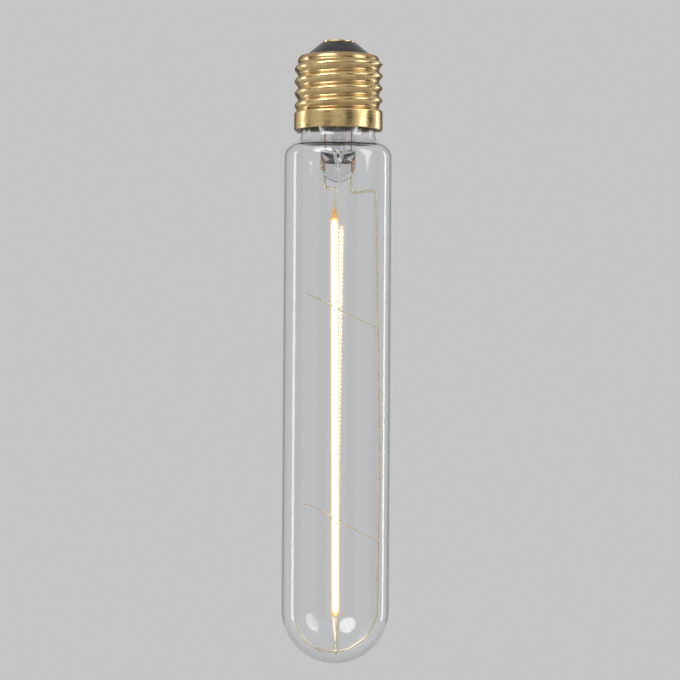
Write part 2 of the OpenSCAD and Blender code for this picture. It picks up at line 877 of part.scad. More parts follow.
// Where the wire to the rim makes its last bend, with the wire's axis in the XZ plane
module hem_bend(r) {
    intersection() {
        translate([rim_wire_out_r + rim_wire_hem_r, 0, z_rim_wire + rim_wire_hem_r])
            rotate([90, 0, 0])
                rotate_extrude()
                    translate([rim_wire_hem_r, 0]) circle(r = r);
        translate([rim_wire_out_r - r, -r, z_rim_wire - r])
            cube([rim_wire_hem_r + r, 2 * r, rim_wire_hem_r + r]);
    }
}

module side_solder() {
    reach = side_solder_r + 1;
    place_r = skirt_r - side_solder_r + 0.15;
    wire_room_r = board_wire_r + weld_gap;
    color(solder_colour)
        difference() {
            rotate([0, 0, rim_wire_bearing])
                translate([place_r, 0, z_rim])
                    difference() {
                        sphere(r = side_solder_r);
                        translate([-reach, -reach, 0]) cube(2 * reach);
                    }
            rotate([0, 0, rim_wire_bearing]) {
                translate([place_r - side_solder_r - 1, 0, z_rim_wire])
                    rotate([0, 90, 0])
                        cylinder(
                            h = rim_wire_end_r + weld_gap - place_r + side_solder_r + 1,
                            r = wire_room_r
                        );
                hem_bend(wire_room_r);
            }
        }
}

// Driver
module driver_sleeve() {
    notch_w = 2 * (board_wire_r + 3 * fit_gap);
    z_notch = z_board + rim_wire_rise - board_wire_r - rim_wire_bend_r / 2;
    color([0.93, 0.92, 0.88])
        difference() {
            translate([0, 0, z_sleeve_bottom])
                cylinder(h = z_sleeve_top - z_sleeve_bottom, r = sleeve_r);
            translate([0, 0, z_board_under])
                cylinder(h = z_sleeve_top - z_board_under + 1, r = sleeve_bore_r);
            translate([0, 0, z_sleeve_bottom - 1])
                cylinder(h = z_sleeve_top - z_sleeve_bottom + 2, r = sleeve_bore_r - sleeve_ledge_w);
            translate([0, 0, z_sleeve_bottom - 1])
                cylinder(h = z_board_under - sleeve_ledge_t - z_sleeve_bottom + 1, r = sleeve_bore_r);
            rotate([0, 0, rim_wire_bearing])
                translate([sleeve_bore_r - 1, -notch_w / 2, z_notch])
                    cube([sleeve_wall + 2, notch_w, z_sleeve_top - z_notch + 1]);
        }
}

// Where wires pass through the board: [x, y, side of the solder, radius of the wire]
function wire_holes() = [
    [0, 0, -1, board_wire_r],
    [capacitor_lead_x, capacitor_y + capacitor_lead_y[0], -1, board_wire_r],
    [capacitor_lead_x, capacitor_y + capacitor_lead_y[1], -1, board_wire_r],
    [outer_lead_x, 0, 1, seal_r],
    [-outer_lead_x, 0, 1, seal_r],
    [
        rim_wire_board_r * cos(rim_wire_bearing), rim_wire_board_r * sin(rim_wire_bearing),
        -1, board_wire_r
    ]
];

module driver_board() {
    color([0.12, 0.4, 0.2])
        difference() {
            translate([0, 0, z_board_under]) cylinder(h = board_t, r = board_r);
            for (hole = wire_holes())
                translate([hole[0], hole[1], z_board_under - 1])
                    cylinder(h = board_t + 2, r = hole[3] + board_hole_gap);
        }
}

module board_solder() {
    color(solder_colour)
        for (hole = wire_holes())
            translate([hole[0], hole[1], hole[2] > 0 ? z_board : z_board_under])
                rotate([hole[2] > 0 ? 0 : 180, 0, 0])
                    difference() {
                        cylinder(h = solder_h, r1 = solder_r, r2 = solder_r * 0.6);
                        translate([0, 0, -1]) cylinder(h = solder_h + 2, r = hole[3] + weld_gap);
                    }
}

// Flat moulded package with rows of bent legs along its two long sides
module package(size, place, legs) {
    translate([place[0], place[1], z_board]) {
        translate([-size[0] / 2, -size[1] / 2, part_standoff]) cube(size);
        for (x = legs, side = [0, 180])
            rotate([0, 0, side]) {
                translate([x - leg_w / 2, size[1] / 2 - 0.1, leg_t])
                    cube([leg_w, leg_reach / 2 + 0.1, size[2] / 2 - leg_t]);
                translate([x - leg_w / 2, size[1] / 2 + leg_reach / 2 - leg_t, 0])
                    cube([leg_w, leg_reach / 2 + leg_t, leg_t + 0.1]);
            }
    }
}

module bridge_rectifier() {
    color([0.13, 0.13, 0.14]) package(rectifier_size, rectifier_place, rectifier_legs);
}

module driver_chip() {
    color([0.1, 0.1, 0.11]) package(chip_body_size, chip_body_place, chip_body_legs);
}

module bulk_capacitor() {
    z = z_board + capacitor_d / 2 + fit_gap;
    can_r = capacitor_d / 2;
    color([0.15, 0.18, 0.3])
        union() {
            translate([-capacitor_length / 2, capacitor_y, z])
                rotate([0, 90, 0])
                    rotate_extrude()
                        polygon([
                            [0, 0], [can_r - capacitor_edge, 0], [can_r, capacitor_edge],
                            [can_r, capacitor_length - capacitor_groove[1]],
                            [
                                can_r - capacitor_edge,
                                capacitor_length - (capacitor_groove[0] + capacitor_groove[1]) / 2
                            ],
                            [can_r, capacitor_length - capacitor_groove[0]],
                            [can_r, capacitor_length - capacitor_edge],
                            [can_r - capacitor_edge, capacitor_length],
                            [0, capacitor_length]
                        ]);
            for (y = capacitor_lead_y)
                bent_wire(
                    [
                        [capacitor_length / 2 - 0.2, capacitor_y + y, z],
                        [capacitor_lead_x, capacitor_y + y, z],
                        [capacitor_lead_x, capacitor_y + y, z_board_under - lead_stub]
                    ],
                    [0.6],
                    board_wire_r
                );
        }
}

module fuse_resistor() {
    r = fuse_d / 2;
    z = min(z_board + fuse_stand, z_insulator_bottom - fit_gap - fuse_length);
    z_lead = z_board_under - lead_stub;
    color([0.75, 0.8, 0.72])
        rotate_extrude()
            polygon([
                [0, z_lead], [board_wire_r, z_lead], [board_wire_r, z], [r - fuse_edge, z],
                [r, z + fuse_cap[0]], [r, z + fuse_cap[1]], [r - fuse_waist, z + fuse_cap[2]],
                [r - fuse_waist, z + fuse_length - fuse_cap[2]],
                [r, z + fuse_length - fuse_cap[1]], [r, z + fuse_length - fuse_cap[0]],
                [r - fuse_edge, z + fuse_length], [board_wire_r, z + fuse_length],
                [board_wire_r, z_contact - weld_gap], [0, z_contact - weld_gap]
            ]);
}

module board_resistors() {
    color([0.1, 0.1, 0.1])
        for (p = resistor_places)
            translate([p[0], p[1], z_board + resistor_size[2] / 2])
                cube(resistor_size, center = true);
}

module board_capacitors() {
    color([0.7, 0.58, 0.42])
        for (p = ceramic_places)
            translate([p[0], p[1], z_board_under - ceramic_size[2] / 2])
                cube(ceramic_size, center = true);
}

envelope();
stem();
exhaust_tube();
dumet_seals();
outer_lead_live();
outer_lead_neutral();
lead_short();
frame_wire();
anchor_upper();
anchor_lower();
filament_strip();
filament_chips();
phosphor_front();
phosphor_rear();
filament_tab_top();
filament_tab_bottom();
filament_hook();
screw_shell();
cap_insulator();
centre_contact();
centre_solder();
side_solder();
cement_ring();
driver_sleeve();
driver_board();
bridge_rectifier();
driver_chip();
bulk_capacitor();
fuse_resistor();
board_resistors();
board_capacitors();
board_solder();
rim_wire();
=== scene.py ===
"""Looks of a tubular LED filament lamp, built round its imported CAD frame.

Sizes and routes are in millimetres, as in the CAD source, and become metres when a mesh is made.
What the box of a CAD node shows is read from the frame, and the other sizes are named values.
"""

import math

import bmesh
import bpy
import numpy as np
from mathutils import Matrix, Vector, noise


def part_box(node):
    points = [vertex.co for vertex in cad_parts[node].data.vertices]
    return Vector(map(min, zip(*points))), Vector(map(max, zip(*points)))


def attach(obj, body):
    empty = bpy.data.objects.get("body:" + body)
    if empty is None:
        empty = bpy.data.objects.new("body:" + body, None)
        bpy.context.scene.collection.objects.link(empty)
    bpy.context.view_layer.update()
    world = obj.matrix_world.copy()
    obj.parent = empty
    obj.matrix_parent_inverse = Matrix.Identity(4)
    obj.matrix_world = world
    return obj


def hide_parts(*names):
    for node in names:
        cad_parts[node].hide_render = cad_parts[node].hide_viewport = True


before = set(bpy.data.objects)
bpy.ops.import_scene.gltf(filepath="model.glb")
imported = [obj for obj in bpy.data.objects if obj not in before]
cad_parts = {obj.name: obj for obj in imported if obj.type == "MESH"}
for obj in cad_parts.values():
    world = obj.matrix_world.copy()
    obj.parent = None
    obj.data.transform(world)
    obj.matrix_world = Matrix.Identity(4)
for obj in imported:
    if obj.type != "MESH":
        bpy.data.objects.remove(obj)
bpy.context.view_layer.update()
scene = bpy.context.scene
noise.seed_set(11)  # without a seed the noise differs from run to run
MM = 0.001


def low(node, axis):
    """Where a CAD node begins along an axis, in millimetres to a hundredth."""
    return round(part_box(node)[0]["xyz".index(axis)] / MM, 2)


def high(node, axis):
    """Where a CAD node ends along an axis, in millimetres to a hundredth."""
    return round(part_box(node)[1]["xyz".index(axis)] / MM, 2)


# Clearances
FIT_GAP = 0.05
WELD_GAP = 0.02

# Screw cap
SKIRT_R = high("screw_shell", "x")
SKIRT_LENGTH = 4.8
Z_RIM = low("screw_shell", "z")
Z_SKIRT_TOP = Z_RIM + SKIRT_LENGTH
THREAD_R = 13.1
THREAD_DEPTH = 1
THREAD_LENGTH = 16
THREAD_PITCH = 3.629
THREAD_FADE = 1.4
ROOT_R = THREAD_R - THREAD_DEPTH
Z_THREAD_TOP = Z_SKIRT_TOP + THREAD_LENGTH
SHEET = 0.3
Z_ROOF = high("screw_shell", "z")
ROOF_OPENING_R = 9.6
ROOF_LIP = 0.15
ROOF_R = ROOT_R - 0.15
ROOF_BEND_R = 1.2
INSULATOR_R = high("cap_insulator", "x")
INSULATOR_TOP_R = 5.3
INSULATOR_HOLE_R = 0.9
Z_INSULATOR_TOP = high("cap_insulator", "z")
Z_INSULATOR_BOTTOM = low("cap_insulator", "z")
CONTACT_R = high("centre_contact", "x")
CONTACT_T = 0.5
CONTACT_BEVEL = 0.15
CONTACT_HOLE_R = 0.3
CONTACT_TUBE_R = 0.85
Z_CONTACT = high("centre_contact", "z")
Z_CONTACT_TUBE = low("centre_contact", "z")
SOLDER_R = high("centre_solder", "x")
SOLDER_FLAT_R = 1.2
CEMENT_R = high("cement_ring", "x")
CEMENT_TOP_R = 11.7
Z_CEMENT_TOP = high("cement_ring", "z")
Z_CEMENT_BOTTOM = low("cement_ring", "z")

# Glass envelope
TUBE_R = high("envelope", "x")
GLASS_WALL = 1
BORE_R = TUBE_R - GLASS_WALL
NECK_R = 11
Z_NECK_TOP = high("envelope", "z")
Z_SHOULDER_TOP = Z_RIM - 0.6
SHOULDER_R = 4.1
SHOULDER_SLOPE = 66
Z_TIP = low("envelope", "z")
Z_TUBE_END = Z_TIP + TUBE_R

# Glass stem
STEM_R = 5.25
STEM_WALL = 0.8
FLARE_R = high("stem", "x")
FLARE_LIP = 0.8
FLARE_HEIGHT = 9
FLARE_POWER = 2.2
Z_FLARE_RIM = high("stem", "z")
Z_FLARE_WAIST = Z_FLARE_RIM - FLARE_LIP - FLARE_HEIGHT
Z_STEM_FLOOR = Z_FLARE_RIM - 12.8
Z_PRESS = Z_STEM_FLOOR - 4
Z_PRESS_BOTTOM = low("stem", "z")
PRESS_HALF_T = 2.2
EXHAUST_R = high("exhaust_tube", "x")
EXHAUST_WALL = 0.8
EXHAUST_BORE_R = EXHAUST_R - EXHAUST_WALL
EXHAUST_TIP = 2.4
BLOW_HOLE_R = 0.7
Z_BLOW_HOLE = Z_STEM_FLOOR - 5.7 + BLOW_HOLE_R

# Filament, hung a little out of plumb
COAT_HALF_W = 1.2
COAT_HALF_T = high("phosphor_rear", "y")
COAT_TOP = Vector((low("phosphor_front", "x") + COAT_HALF_W, 0, Z_PRESS_BOTTOM - 10.3))
COAT_BOTTOM = Vector((high("phosphor_front", "x") - COAT_HALF_W, 0, Z_TIP + GLASS_WALL + 12.9))
COAT_LENGTH = (COAT_TOP - COAT_BOTTOM).length
COAT_END = 0.9
COAT_TIP_SHARE = 0.25
COAT_SQUARENESS = 2.7
BEAD_SWELL = 0.012
CHIP_PITCH = 1.27
CHIP_START = 2.685
STRIP_HALF_W = 0.7
STRIP_HALF_T = high("filament_strip", "y")
TAB_IN_COAT = 1
TAB_TOP_LENGTH = 3
TAB_NECK = (0.2, 1.2)
TAB_TIP_HALF_W = 0.4
TAB_BOTTOM_LENGTH = 7
TAB_SHOULDER = (0.1, 0.9)
TAB_SHOULDER_X = -0.23
TAB_HALF_W = 1.1
TAB_TAPER = 3
TAB_END_X = (0.2, 0.85)
Z_TAB_END = COAT_BOTTOM.z - TAB_BOTTOM_LENGTH

# Silicone nose over the top tab
NOSE_LENGTH = 2.75
NOSE_IN_COAT = 0.6
NOSE_TIP_PLACE = (0.05, -0.28)
NOSE_R = 0.45
NOSE_ROUND_START = -3
NOSE_ROUND_LENGTH = 0.9
NOSE_ROUND_GAIN = 0.18
NOSE_SWELL_START = -2.2
NOSE_SWELL_LENGTH = 2.4
NOSE_SWELL_GAIN = 0.23

# Lead wires, whose beads are each given by place, swell and reach
SEAL_R = 0.25
LEAD_R = 0.35
LEAD_X = high("dumet_seals", "x") - SEAL_R
Z_BUTT_WELD = high("frame_wire", "z")
BUTT_BEAD = (0, 0.3, 0.4)
OUTER_LEAD_X = 6.5
OUTER_LEAD_BEND_R = 1.5
Z_OUTER_LEAD_BENDS = (Z_FLARE_RIM - 4, Z_FLARE_RIM - 0.2)
Z_SHORT_RUN = (Z_PRESS_BOTTOM - 1.7, Z_PRESS_BOTTOM - 2)
SHORT_LAP = (0.45, 0.05, 0.4)
SHORT_BEND_R = 0.9
SHORT_BEAD = (5.7, 0.5, 0.7)

# Support wire, whose foot is given by bearings and shares of its radius
Z_FRAME_BEND = Z_PRESS_BOTTOM - 3.3
RUN_TOP = (BORE_R - 3.65, Z_FRAME_BEND + 0.95)
RUN_MIDDLE = (BORE_R - 2, Z_PRESS_BOTTOM - 79.6)
FRAME_BEND_R = 1.2
FRAME_CORNER_R = 1.3
FRAME_BOW_R = 400
FRAME_BEAD = (7.2, 0.5, 0.7)
FOOT_X = 0.1
FOOT_R = BORE_R - 2.5
Z_FOOT = Z_TIP + GLASS_WALL + 2.2
FOOT_BENDS = [(-7.8, 1.005), (-40.1, 0.994), (-69.5, 0.982), (-85.9, 0.998),
              (-105.2, 1.036), (-123.2, 1.052), (-141.4, 1.019), (-158.4, 0.998)]
FOOT_END = (-168, 0.985)
FOOT_BEND_R = 5

# Anchor wires
ANCHOR_R = 0.175
ANCHOR_LOOP_R = COAT_HALF_W + ANCHOR_R + 0.1
ANCHOR_CLIMB = 2 * ANCHOR_R + 0.15
ANCHOR_BEAD = (0.15, 0.6, 0.35)
UPPER_SLOPE = 0.466
UPPER_END_X = -8.96
Z_UPPER_WELD = Z_PRESS_BOTTOM - 43.2
LOWER_SLOPE = 0.516
LOWER_KINK_X = -7.95
LOWER_TIP = (1.35, 0.2)
Z_LOWER_WELD = COAT_BOTTOM.z + 22.2

# Hook from the lower tab to the foot
HOOK_R = 0.25
HOOK_X = 0.35
HOOK_HALF_W = 0.79
HOOK_BEARING = math.radians(53)
HOOK_LAP = (0.55, 2.6)
HOOK_LEAN = (0.1, 0.4)
HOOK_LEAN_R = 2
HOOK_BEND_R = 0.75
Z_HOOK_BOTTOM = Z_FOOT - LEAD_R - HOOK_R - WELD_GAP
Z_HOOK_STUB = Z_FOOT + 2.2

# Wire from the driver's board to the shell's rim, and its solder
BOARD_WIRE_R = 0.25
RIM_WIRE_BEARING = math.radians(160)
RIM_WIRE_BOARD_R = 9
RIM_WIRE_OUT_R = high("driver_sleeve", "x") + FIT_GAP + BOARD_WIRE_R
RIM_WIRE_END_R = SKIRT_R - 0.3
RIM_WIRE_BEND_R = 0.6
RIM_WIRE_HEM_R = 0.4
Z_RIM_WIRE = Z_RIM - BOARD_WIRE_R - 0.1
Z_RIM_WIRE_STUB = low("driver_board", "z") - 0.8
Z_RIM_WIRE_TOP = high("driver_board", "z") + 1.6
SIDE_SOLDER_R = 0.78
SIDE_SOLDER_DEPTH = 0.74
SIDE_SOLDER_PLACE_R = SKIRT_R - 0.65


# Shapes, each a list of points and a list of faces
ON_AXIS = 1e-6


def arc(centre, r, start, end, steps, height=None):
    """Points of an arc, with its angles in degrees, or of an ellipse that has its own height."""
    height = r if height is None else height
    angles = np.radians(np.linspace(start, end, steps + 1))
    return [(centre[0] + r * math.cos(a), centre[1] + height * math.sin(a)) for a in angles]


def ease(t):
    """0 up to t = 0, 1 from t = 1, and smooth between them."""
    u = np.clip(t, 0, 1)
    return u * u * (3 - 2 * u)


def spin(profile, sides=144, closed=True):
    """A surface of revolution. A point on the axis becomes a single vertex."""
    turns = np.linspace(0, 2 * math.pi, sides, endpoint=False)
    points, rings, faces = [], [], []
    for r, z in profile:
        on_axis = r < ON_AXIS
        rings.append([len(points) + (0 if on_axis else j) for j in range(sides)])
        if on_axis:
            points.append((0, 0, z))
        else:
            points.extend((r * math.cos(a), r * math.sin(a), z) for a in turns)
    pairs = zip(rings, rings[1:] + rings[:1]) if closed else zip(rings, rings[1:])
    for near, far in pairs:
        for j in range(sides):
            k = (j + 1) % sides
            corners = dict.fromkeys((near[j], near[k], far[k], far[j]))
            if len(corners) > 2:
                faces.append(tuple(corners))
    return points, faces


def fillet(profile, r, steps=4, share=0.45):
    """The closed profile with its corners rounded, each over no more than that share of a side."""
    out = []
    count = len(profile)
    for i in range(count):
        here, before, after = (np.array(profile[k % count], float) for k in (i, i - 1, i + 1))
        back, on = before - here, after - here
        reach = min(r, share * np.linalg.norm(back), share * np.linalg.norm(on))
        start = here + back / np.linalg.norm(back) * reach
        end = here + on / np.linalg.norm(on) * reach
        for t in np.linspace(0, 1, steps + 1):
            out.append(tuple((1 - t) ** 2 * start + 2 * t * (1 - t) * here + t * t * end))
    return out


def bent(corners, radii, step=6):
    """A route through the corners with round bends, with points that many degrees apart."""
    corners = [np.array(c, float) for c in corners]
    ways = [b - a for a, b in zip(corners, corners[1:])]
    ways = [w / np.linalg.norm(w) for w in ways]
    route = [corners[0]]
    for corner, d1, d2, r in zip(corners[1:-1], ways, ways[1:], radii):
        turn = math.acos(float(np.clip(d1 @ d2, -1, 1)))
        inward = d2 - (d1 @ d2) * d1
        inward /= np.linalg.norm(inward)
        start = corner - r * math.tan(turn / 2) * d1
        steps = max(3, math.ceil(math.degrees(turn) / step))
        for a in np.linspace(0, turn, steps + 1):
            route.append(start + r * inward + r * (math.sin(a) * d1 - math.cos(a) * inward))
    route.append(corners[-1])
    return np.array(route)


def beaded(route, r, beads, closest=0.02):
    """The route with finer points at its beads, and the wire's radius at each point.

    A bead is its place along the route, how much thicker the wire is there, and its reach.
    No two points are closer to each other than closest.
    """
    route = np.array(route, float)
    along = np.concatenate([[0], np.cumsum(np.linalg.norm(np.diff(route, axis=0), axis=1))])
    extra = [np.linspace(at - 2.2 * reach, at + 2.2 * reach, 13) for at, _, reach in beads]
    every = np.unique(np.clip(np.concatenate([along, *extra]), 0, along[-1]).round(3))
    every = every[np.concatenate([[True], np.diff(every) > closest])]
    points = np.column_stack([np.interp(every, along, route[:, k]) for k in range(3)])
    radii = np.full(len(every), float(r))
    for at, swell, reach in beads:
        radii += r * swell * np.exp(-(((every - at) / reach) ** 2))
    return points, radii


def sweep(route, radius, sides=20, blunt=0.35):
    """A round wire along the route, with slightly blunted ends. Its radius may vary along it."""
    route = np.array(route, float)
    radius = np.broadcast_to(np.array(radius, float), len(route)).copy()
    ways = np.diff(route, axis=0)
    ways /= np.linalg.norm(ways, axis=1)[:, None]
    tangents = np.vstack([ways[:1], ways[1:] + ways[:-1], ways[-1:]])
    tangents /= np.linalg.norm(tangents, axis=1)[:, None]
    tip, tail = blunt * radius[0], blunt * radius[-1]
    route = np.vstack([route[:1], route[:1] + tip * tangents[0], route[1:-1],
                       route[-1:] - tail * tangents[-1], route[-1:]])
    tangents = np.vstack([tangents[:1], tangents, tangents[-1:]])
    radius = np.concatenate([[radius[0] - tip], radius, [radius[-1] - tail]])
    side = np.array([0.1, 1, 0])
    points, faces = [], []
    turns = np.linspace(0, 2 * math.pi, sides, endpoint=False)
    for p, t, r in zip(route, tangents, radius):
        side = side - (side @ t) * t
        side /= np.linalg.norm(side)
        other = np.cross(t, side)
        points.extend(p + r * (math.cos(a) * side + math.sin(a) * other) for a in turns)
    for i in range(len(route) - 1):
        for j in range(sides):
            a, b = i * sides + j, i * sides + (j + 1) % sides
            faces.append((a, b, b + sides, a + sides))
    last = (len(route) - 1) * sides
    faces.append(tuple(range(sides - 1, -1, -1)))
    faces.append(tuple(last + j for j in range(sides)))
    return points, faces


def joined(*shapes):
    """Several shapes as one."""
    points, faces = [], []
    for more, sides in shapes:
        faces.extend(tuple(len(points) + i for i in f) for f in sides)
        points.extend(more)
    return points, faces


def roughened(shape, amount, size, keep):
    """The shape with its points pushed about by smooth noise, as far as keep lets each point."""
    points = []
    for p in shape[0]:
        shift = noise.noise_vector(Vector(p) / size) * amount * keep(p)
        points.append(tuple(Vector(p) + shift))
    return points, shape[1]


def mesh_of(name, shape):
    """A mesh in metres from a shape in millimetres."""
    mesh = bpy.data.meshes.new(name)
    mesh.from_pydata([tuple(c * MM for c in p) for p in shape[0]], [], shape[1])
    return mesh


def piece(name, shape, material, node=None, sharp=35, bevel=0):
    """One visible piece that rides on the root body and stands for a CAD node, if one is given."""
    mesh = mesh_of(name, shape)
    form = bmesh.new()
    form.from_mesh(mesh)
    bmesh.ops.recalc_face_normals(form, faces=form.faces)
    if bevel:
        edges = [e for e in form.edges if e.calc_face_angle(0) > math.radians(30)]
        bmesh.ops.bevel(form, geom=edges, offset=bevel * MM, segments=2, affect="EDGES")
    form.to_mesh(mesh)
    form.free()
    mesh.materials.append(material)
    mesh.shade_smooth()
    mesh.set_sharp_from_angle(angle=math.radians(sharp))
    obj = bpy.data.objects.new(name, mesh)
    scene.collection.objects.link(obj)
    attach(obj, "root")
    if node:
        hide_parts(node)
    return obj


def mark(obj, **marks):
    """Gives the points of a piece the named values that its paint reads."""
    for key, values in marks.items():
        obj.data.attributes.new(key, "FLOAT", "POINT").data.foreach_set("value", values)


# Materials
class Paint:
    """A Principled material whose patterns lie in object space, with scales per metre."""

    def __init__(self, name, **values):
        self.material = bpy.data.materials.new(name)
        self.material.use_nodes = True
        self.tree = self.material.node_tree
        self.shader = self.tree.nodes["Principled BSDF"]
        self.out = self.tree.nodes["Material Output"]
        self.place = self.add("TexCoord").outputs["Object"]
        for key, value in values.items():
            self.use(key.replace("_", " "), value)

    def set(self, node, key, value):
        socket = node.inputs[key]
        if isinstance(value, bpy.types.NodeSocket):
            self.tree.links.new(value, socket)
        elif isinstance(value, (tuple, list)) and len(value) == 3 and socket.type == "RGBA":
            socket.default_value = (*value, 1)
        else:
            socket.default_value = value

    def use(self, key, value):
        self.set(self.shader, key, value)

    def add(self, kind, inputs=None, **settings):
        node = self.tree.nodes.new("ShaderNode" + kind)
        for key, value in settings.items():
            setattr(node, key, value)
        for key, value in (inputs or {}).items():
            self.set(node, key, value)
        return node

    def noise(self, scale, detail=3, stretch=(1, 1, 1), roughness=0.5):
        place = self.add("Mapping", {"Vector": self.place, "Scale": stretch})
        inputs = {"Vector": place.outputs[0], "Scale": scale, "Detail": detail,
                  "Roughness": roughness}
        return self.add("TexNoise", inputs).outputs["Fac"]

    def range(self, value, start, end, to_start=0.0, to_end=1.0):
        inputs = {"Value": value, "From Min": start, "From Max": end,
                  "To Min": to_start, "To Max": to_end}
        return self.add("MapRange", inputs).outputs["Result"]

    def mix(self, share, one, two):
        return self.add("Mix", {0: share, 6: one, 7: two}, data_type="RGBA").outputs[2]

    def math(self, operation, one, two=0.0):
        return self.add("Math", {0: one, 1: two}, operation=operation).outputs[0]

    def radius(self):
        """Distance from the lamp's axis, in metres."""
        flat = self.add("VectorMath", {0: self.place, 1: (1, 1, 0)}, operation="MULTIPLY")
        return self.add("VectorMath", {0: flat.outputs[0]}, operation="LENGTH").outputs["Value"]

    def bump(self, height, strength, distance):
        """Raises the surface by up to distance, in metres."""
        node = self.add("Bump", {"Height": height, "Strength": strength, "Distance": distance})
        self.use("Normal", node.outputs[0])


def glass(name, streaks, waves, tint, density):
    """Clear glass with faint drawing marks, whose body darkens where the way through is long."""
    p = Paint(name, Base_Color=(1, 1, 1), Transmission_Weight=1.0, IOR=1.5, Roughness=0.0)
    fine = p.noise(streaks, 2, stretch=(1, 1, 0.05))
    broad = p.noise(waves, 2, stretch=(1, 1, 0.3))
    p.bump(p.math("ADD", fine, p.math("MULTIPLY", broad, 4.0)), strength=0.16, distance=1e-5)
    body = p.add("VolumeAbsorption", {"Color": tint, "Density": density})
    p.tree.links.new(body.outputs[0], p.out.inputs["Volume"])
    return p.material


def metal(name, colour, tarnish, rough, spots=600, grain=3000, stretch=(1, 1, 1), depth=4e-6):
    """Bare metal with soft tarnish, fine grain and uneven shine, and its socket of colour."""
    p = Paint(name, Metallic=1.0)
    stains = p.range(p.noise(spots, 4, roughness=0.6), 0.42, 0.72)
    lines = p.noise(grain, 4, stretch)
    base = p.mix(stains, colour, tarnish)
    p.use("Base Color", base)
    shine = p.math("ADD", p.range(lines, 0.3, 0.7, -0.06, 0.06), p.range(stains, 0, 1, *rough))
    p.use("Roughness", shine)
    p.bump(lines, 0.5, depth)
    return p, base


def plain(name, colour, second, rough, cloud=900, skin=4000, depth=1e-5, **values):
    """A moulded, fired or laminated surface with a cloudy colour and a fine skin."""
    p = Paint(name, **values)
    clouds = p.range(p.noise(cloud, 4, roughness=0.6), 0.35, 0.68)
    pores = p.noise(skin, 3)
    p.use("Base Color", p.mix(clouds, colour, second))
    p.use("Roughness", p.range(pores, 0.3, 0.7, *rough))
    p.bump(pores, 0.4, depth)
    return p.material


def glowing_coat():
    """Lit phosphor: white-hot along the dies in a row of beads, gold at the sides and ends."""
    hot_light, side_light, end_light = 18, 1.0, 0.3
    rim, centre, bead_depth, core_power = 0.97, 0.32, 0.06, 2.6
    die_reach = 0.3
    p = Paint("glowing_phosphor", Specular_IOR_Level=0.3)
    across = p.add("Attribute", attribute_name="across").outputs["Fac"]
    front = p.add("Attribute", attribute_name="front").outputs["Fac"]
    along = p.add("Attribute", attribute_name="along").outputs["Fac"]
    beads = p.math("COSINE", p.math("MULTIPLY", along, 2 * math.pi / CHIP_PITCH))
    last_die = COAT_LENGTH - 2 * CHIP_START
    top = p.range(along, -CHIP_START, die_reach, 1.0, 0.0)
    bottom = p.range(along, last_die + CHIP_START, last_die - die_reach, 1.0, 0.0)
    end = p.math("MAXIMUM", top, bottom)
    squares = p.math("ADD", p.math("MULTIPLY", across, across), p.math("MULTIPLY", end, end))
    from_core = p.math("SQRT", squares)
    scallops = p.math("SUBTRACT", from_core, p.math("MULTIPLY", beads, bead_depth))
    core = p.range(scallops, rim, centre)
    back = p.range(front, -0.3, 0.5, 0.75, 1.0)
    cloud = p.range(p.noise(700, 3), 0.3, 0.7, 0.92, 1.08)
    hot = p.math("MULTIPLY", p.range(beads, -1, 1, 0.35, 1.3), p.math("MULTIPLY", back, cloud))
    core_light = p.math("MULTIPLY", p.math("POWER", core, core_power),
                        p.math("MULTIPLY", hot, hot_light))
    near = p.range(from_core, 1.3, 0.95)
    edge = p.mix(near, (1.0, 0.46, 0.12), (1.0, 0.52, 0.15))
    p.use("Base Color", p.mix(core, (0.80, 0.42, 0.10), (0.95, 0.72, 0.32)))
    p.use("Emission Color", p.mix(core, edge, (1.0, 0.80, 0.50)))
    light = p.math("ADD", core_light, p.range(near, 0, 1, end_light, side_light))
    p.use("Emission Strength", light)
    p.use("Roughness", p.range(p.noise(3000, 2), 0.3, 0.7, 0.35, 0.5))
    return p.material


def rolled_brass():
    """Brass sheet with the rings that rolling leaves, and painted shade that darkens it towards the
    axis, in the thread's roots below the crests.
    """
    p, unshaded_brass = metal("rolled_brass", (0.80, 0.60, 0.29), (0.56, 0.38, 0.17), (0.22, 0.4),
                      spots=260, grain=900, stretch=(0.15, 0.15, 6), depth=6e-6)
    # Painted shade: the colour darkens from the crests towards the axis, over the thread's roots and
    # the roof, with a mottled tone
    crests = p.range(p.radius(), ROOT_R * MM, (THREAD_R - 0.15) * MM)
    shade_mottle = p.range(p.noise(420, 3), 0.3, 0.7, 0.25, 0.7)
    root_shade = p.mix(shade_mottle, (0.62, 0.43, 0.20), (0.44, 0.30, 0.15))
    p.use("Base Color", p.mix(crests, root_shade, unshaded_brass))
    return p.material


def bare(*words, **values):
    """A metal's material alone."""
    return metal(*words, **values)[0].material


clear_glass = glass("clear_blown_glass", 160, 60, (0.25, 0.33, 0.37), 60)
stem_glass = glass("pressed_stem_glass", 500, 300, (0.3, 0.38, 0.4), 60)
nickel = bare("nickel_wire", (0.95, 0.86, 0.66), (0.80, 0.67, 0.44), (0.3, 0.45))
plated = bare("plated_tab", (0.97, 0.90, 0.72), (0.84, 0.70, 0.45), (0.4, 0.55))
copper = bare("copper_wire", (0.78, 0.42, 0.25), (0.45, 0.22, 0.13), (0.25, 0.45))
tin = bare("tin_solder", (0.68, 0.69, 0.70), (0.47, 0.48, 0.49), (0.26, 0.5),
           spots=900, grain=2500, depth=1e-5)
brass = rolled_brass()
contact_brass = bare("contact_brass", (0.82, 0.63, 0.32), (0.56, 0.39, 0.2), (0.22, 0.4),
                     spots=500, grain=1800)
vitrite = plain("black_vitrite", (0.010, 0.010, 0.012), (0.022, 0.022, 0.026), (0.08, 0.24),
                cloud=350, skin=900, depth=1.4e-5)
cement = plain("lamp_cement", (0.58, 0.52, 0.42), (0.40, 0.34, 0.26), (0.85, 1.0),
               cloud=500, skin=2500, depth=8e-5)
phosphor = glowing_coat()
ceramic_strip = plain("ceramic_strip", (0.82, 0.80, 0.75), (0.72, 0.69, 0.62), (0.5, 0.7))
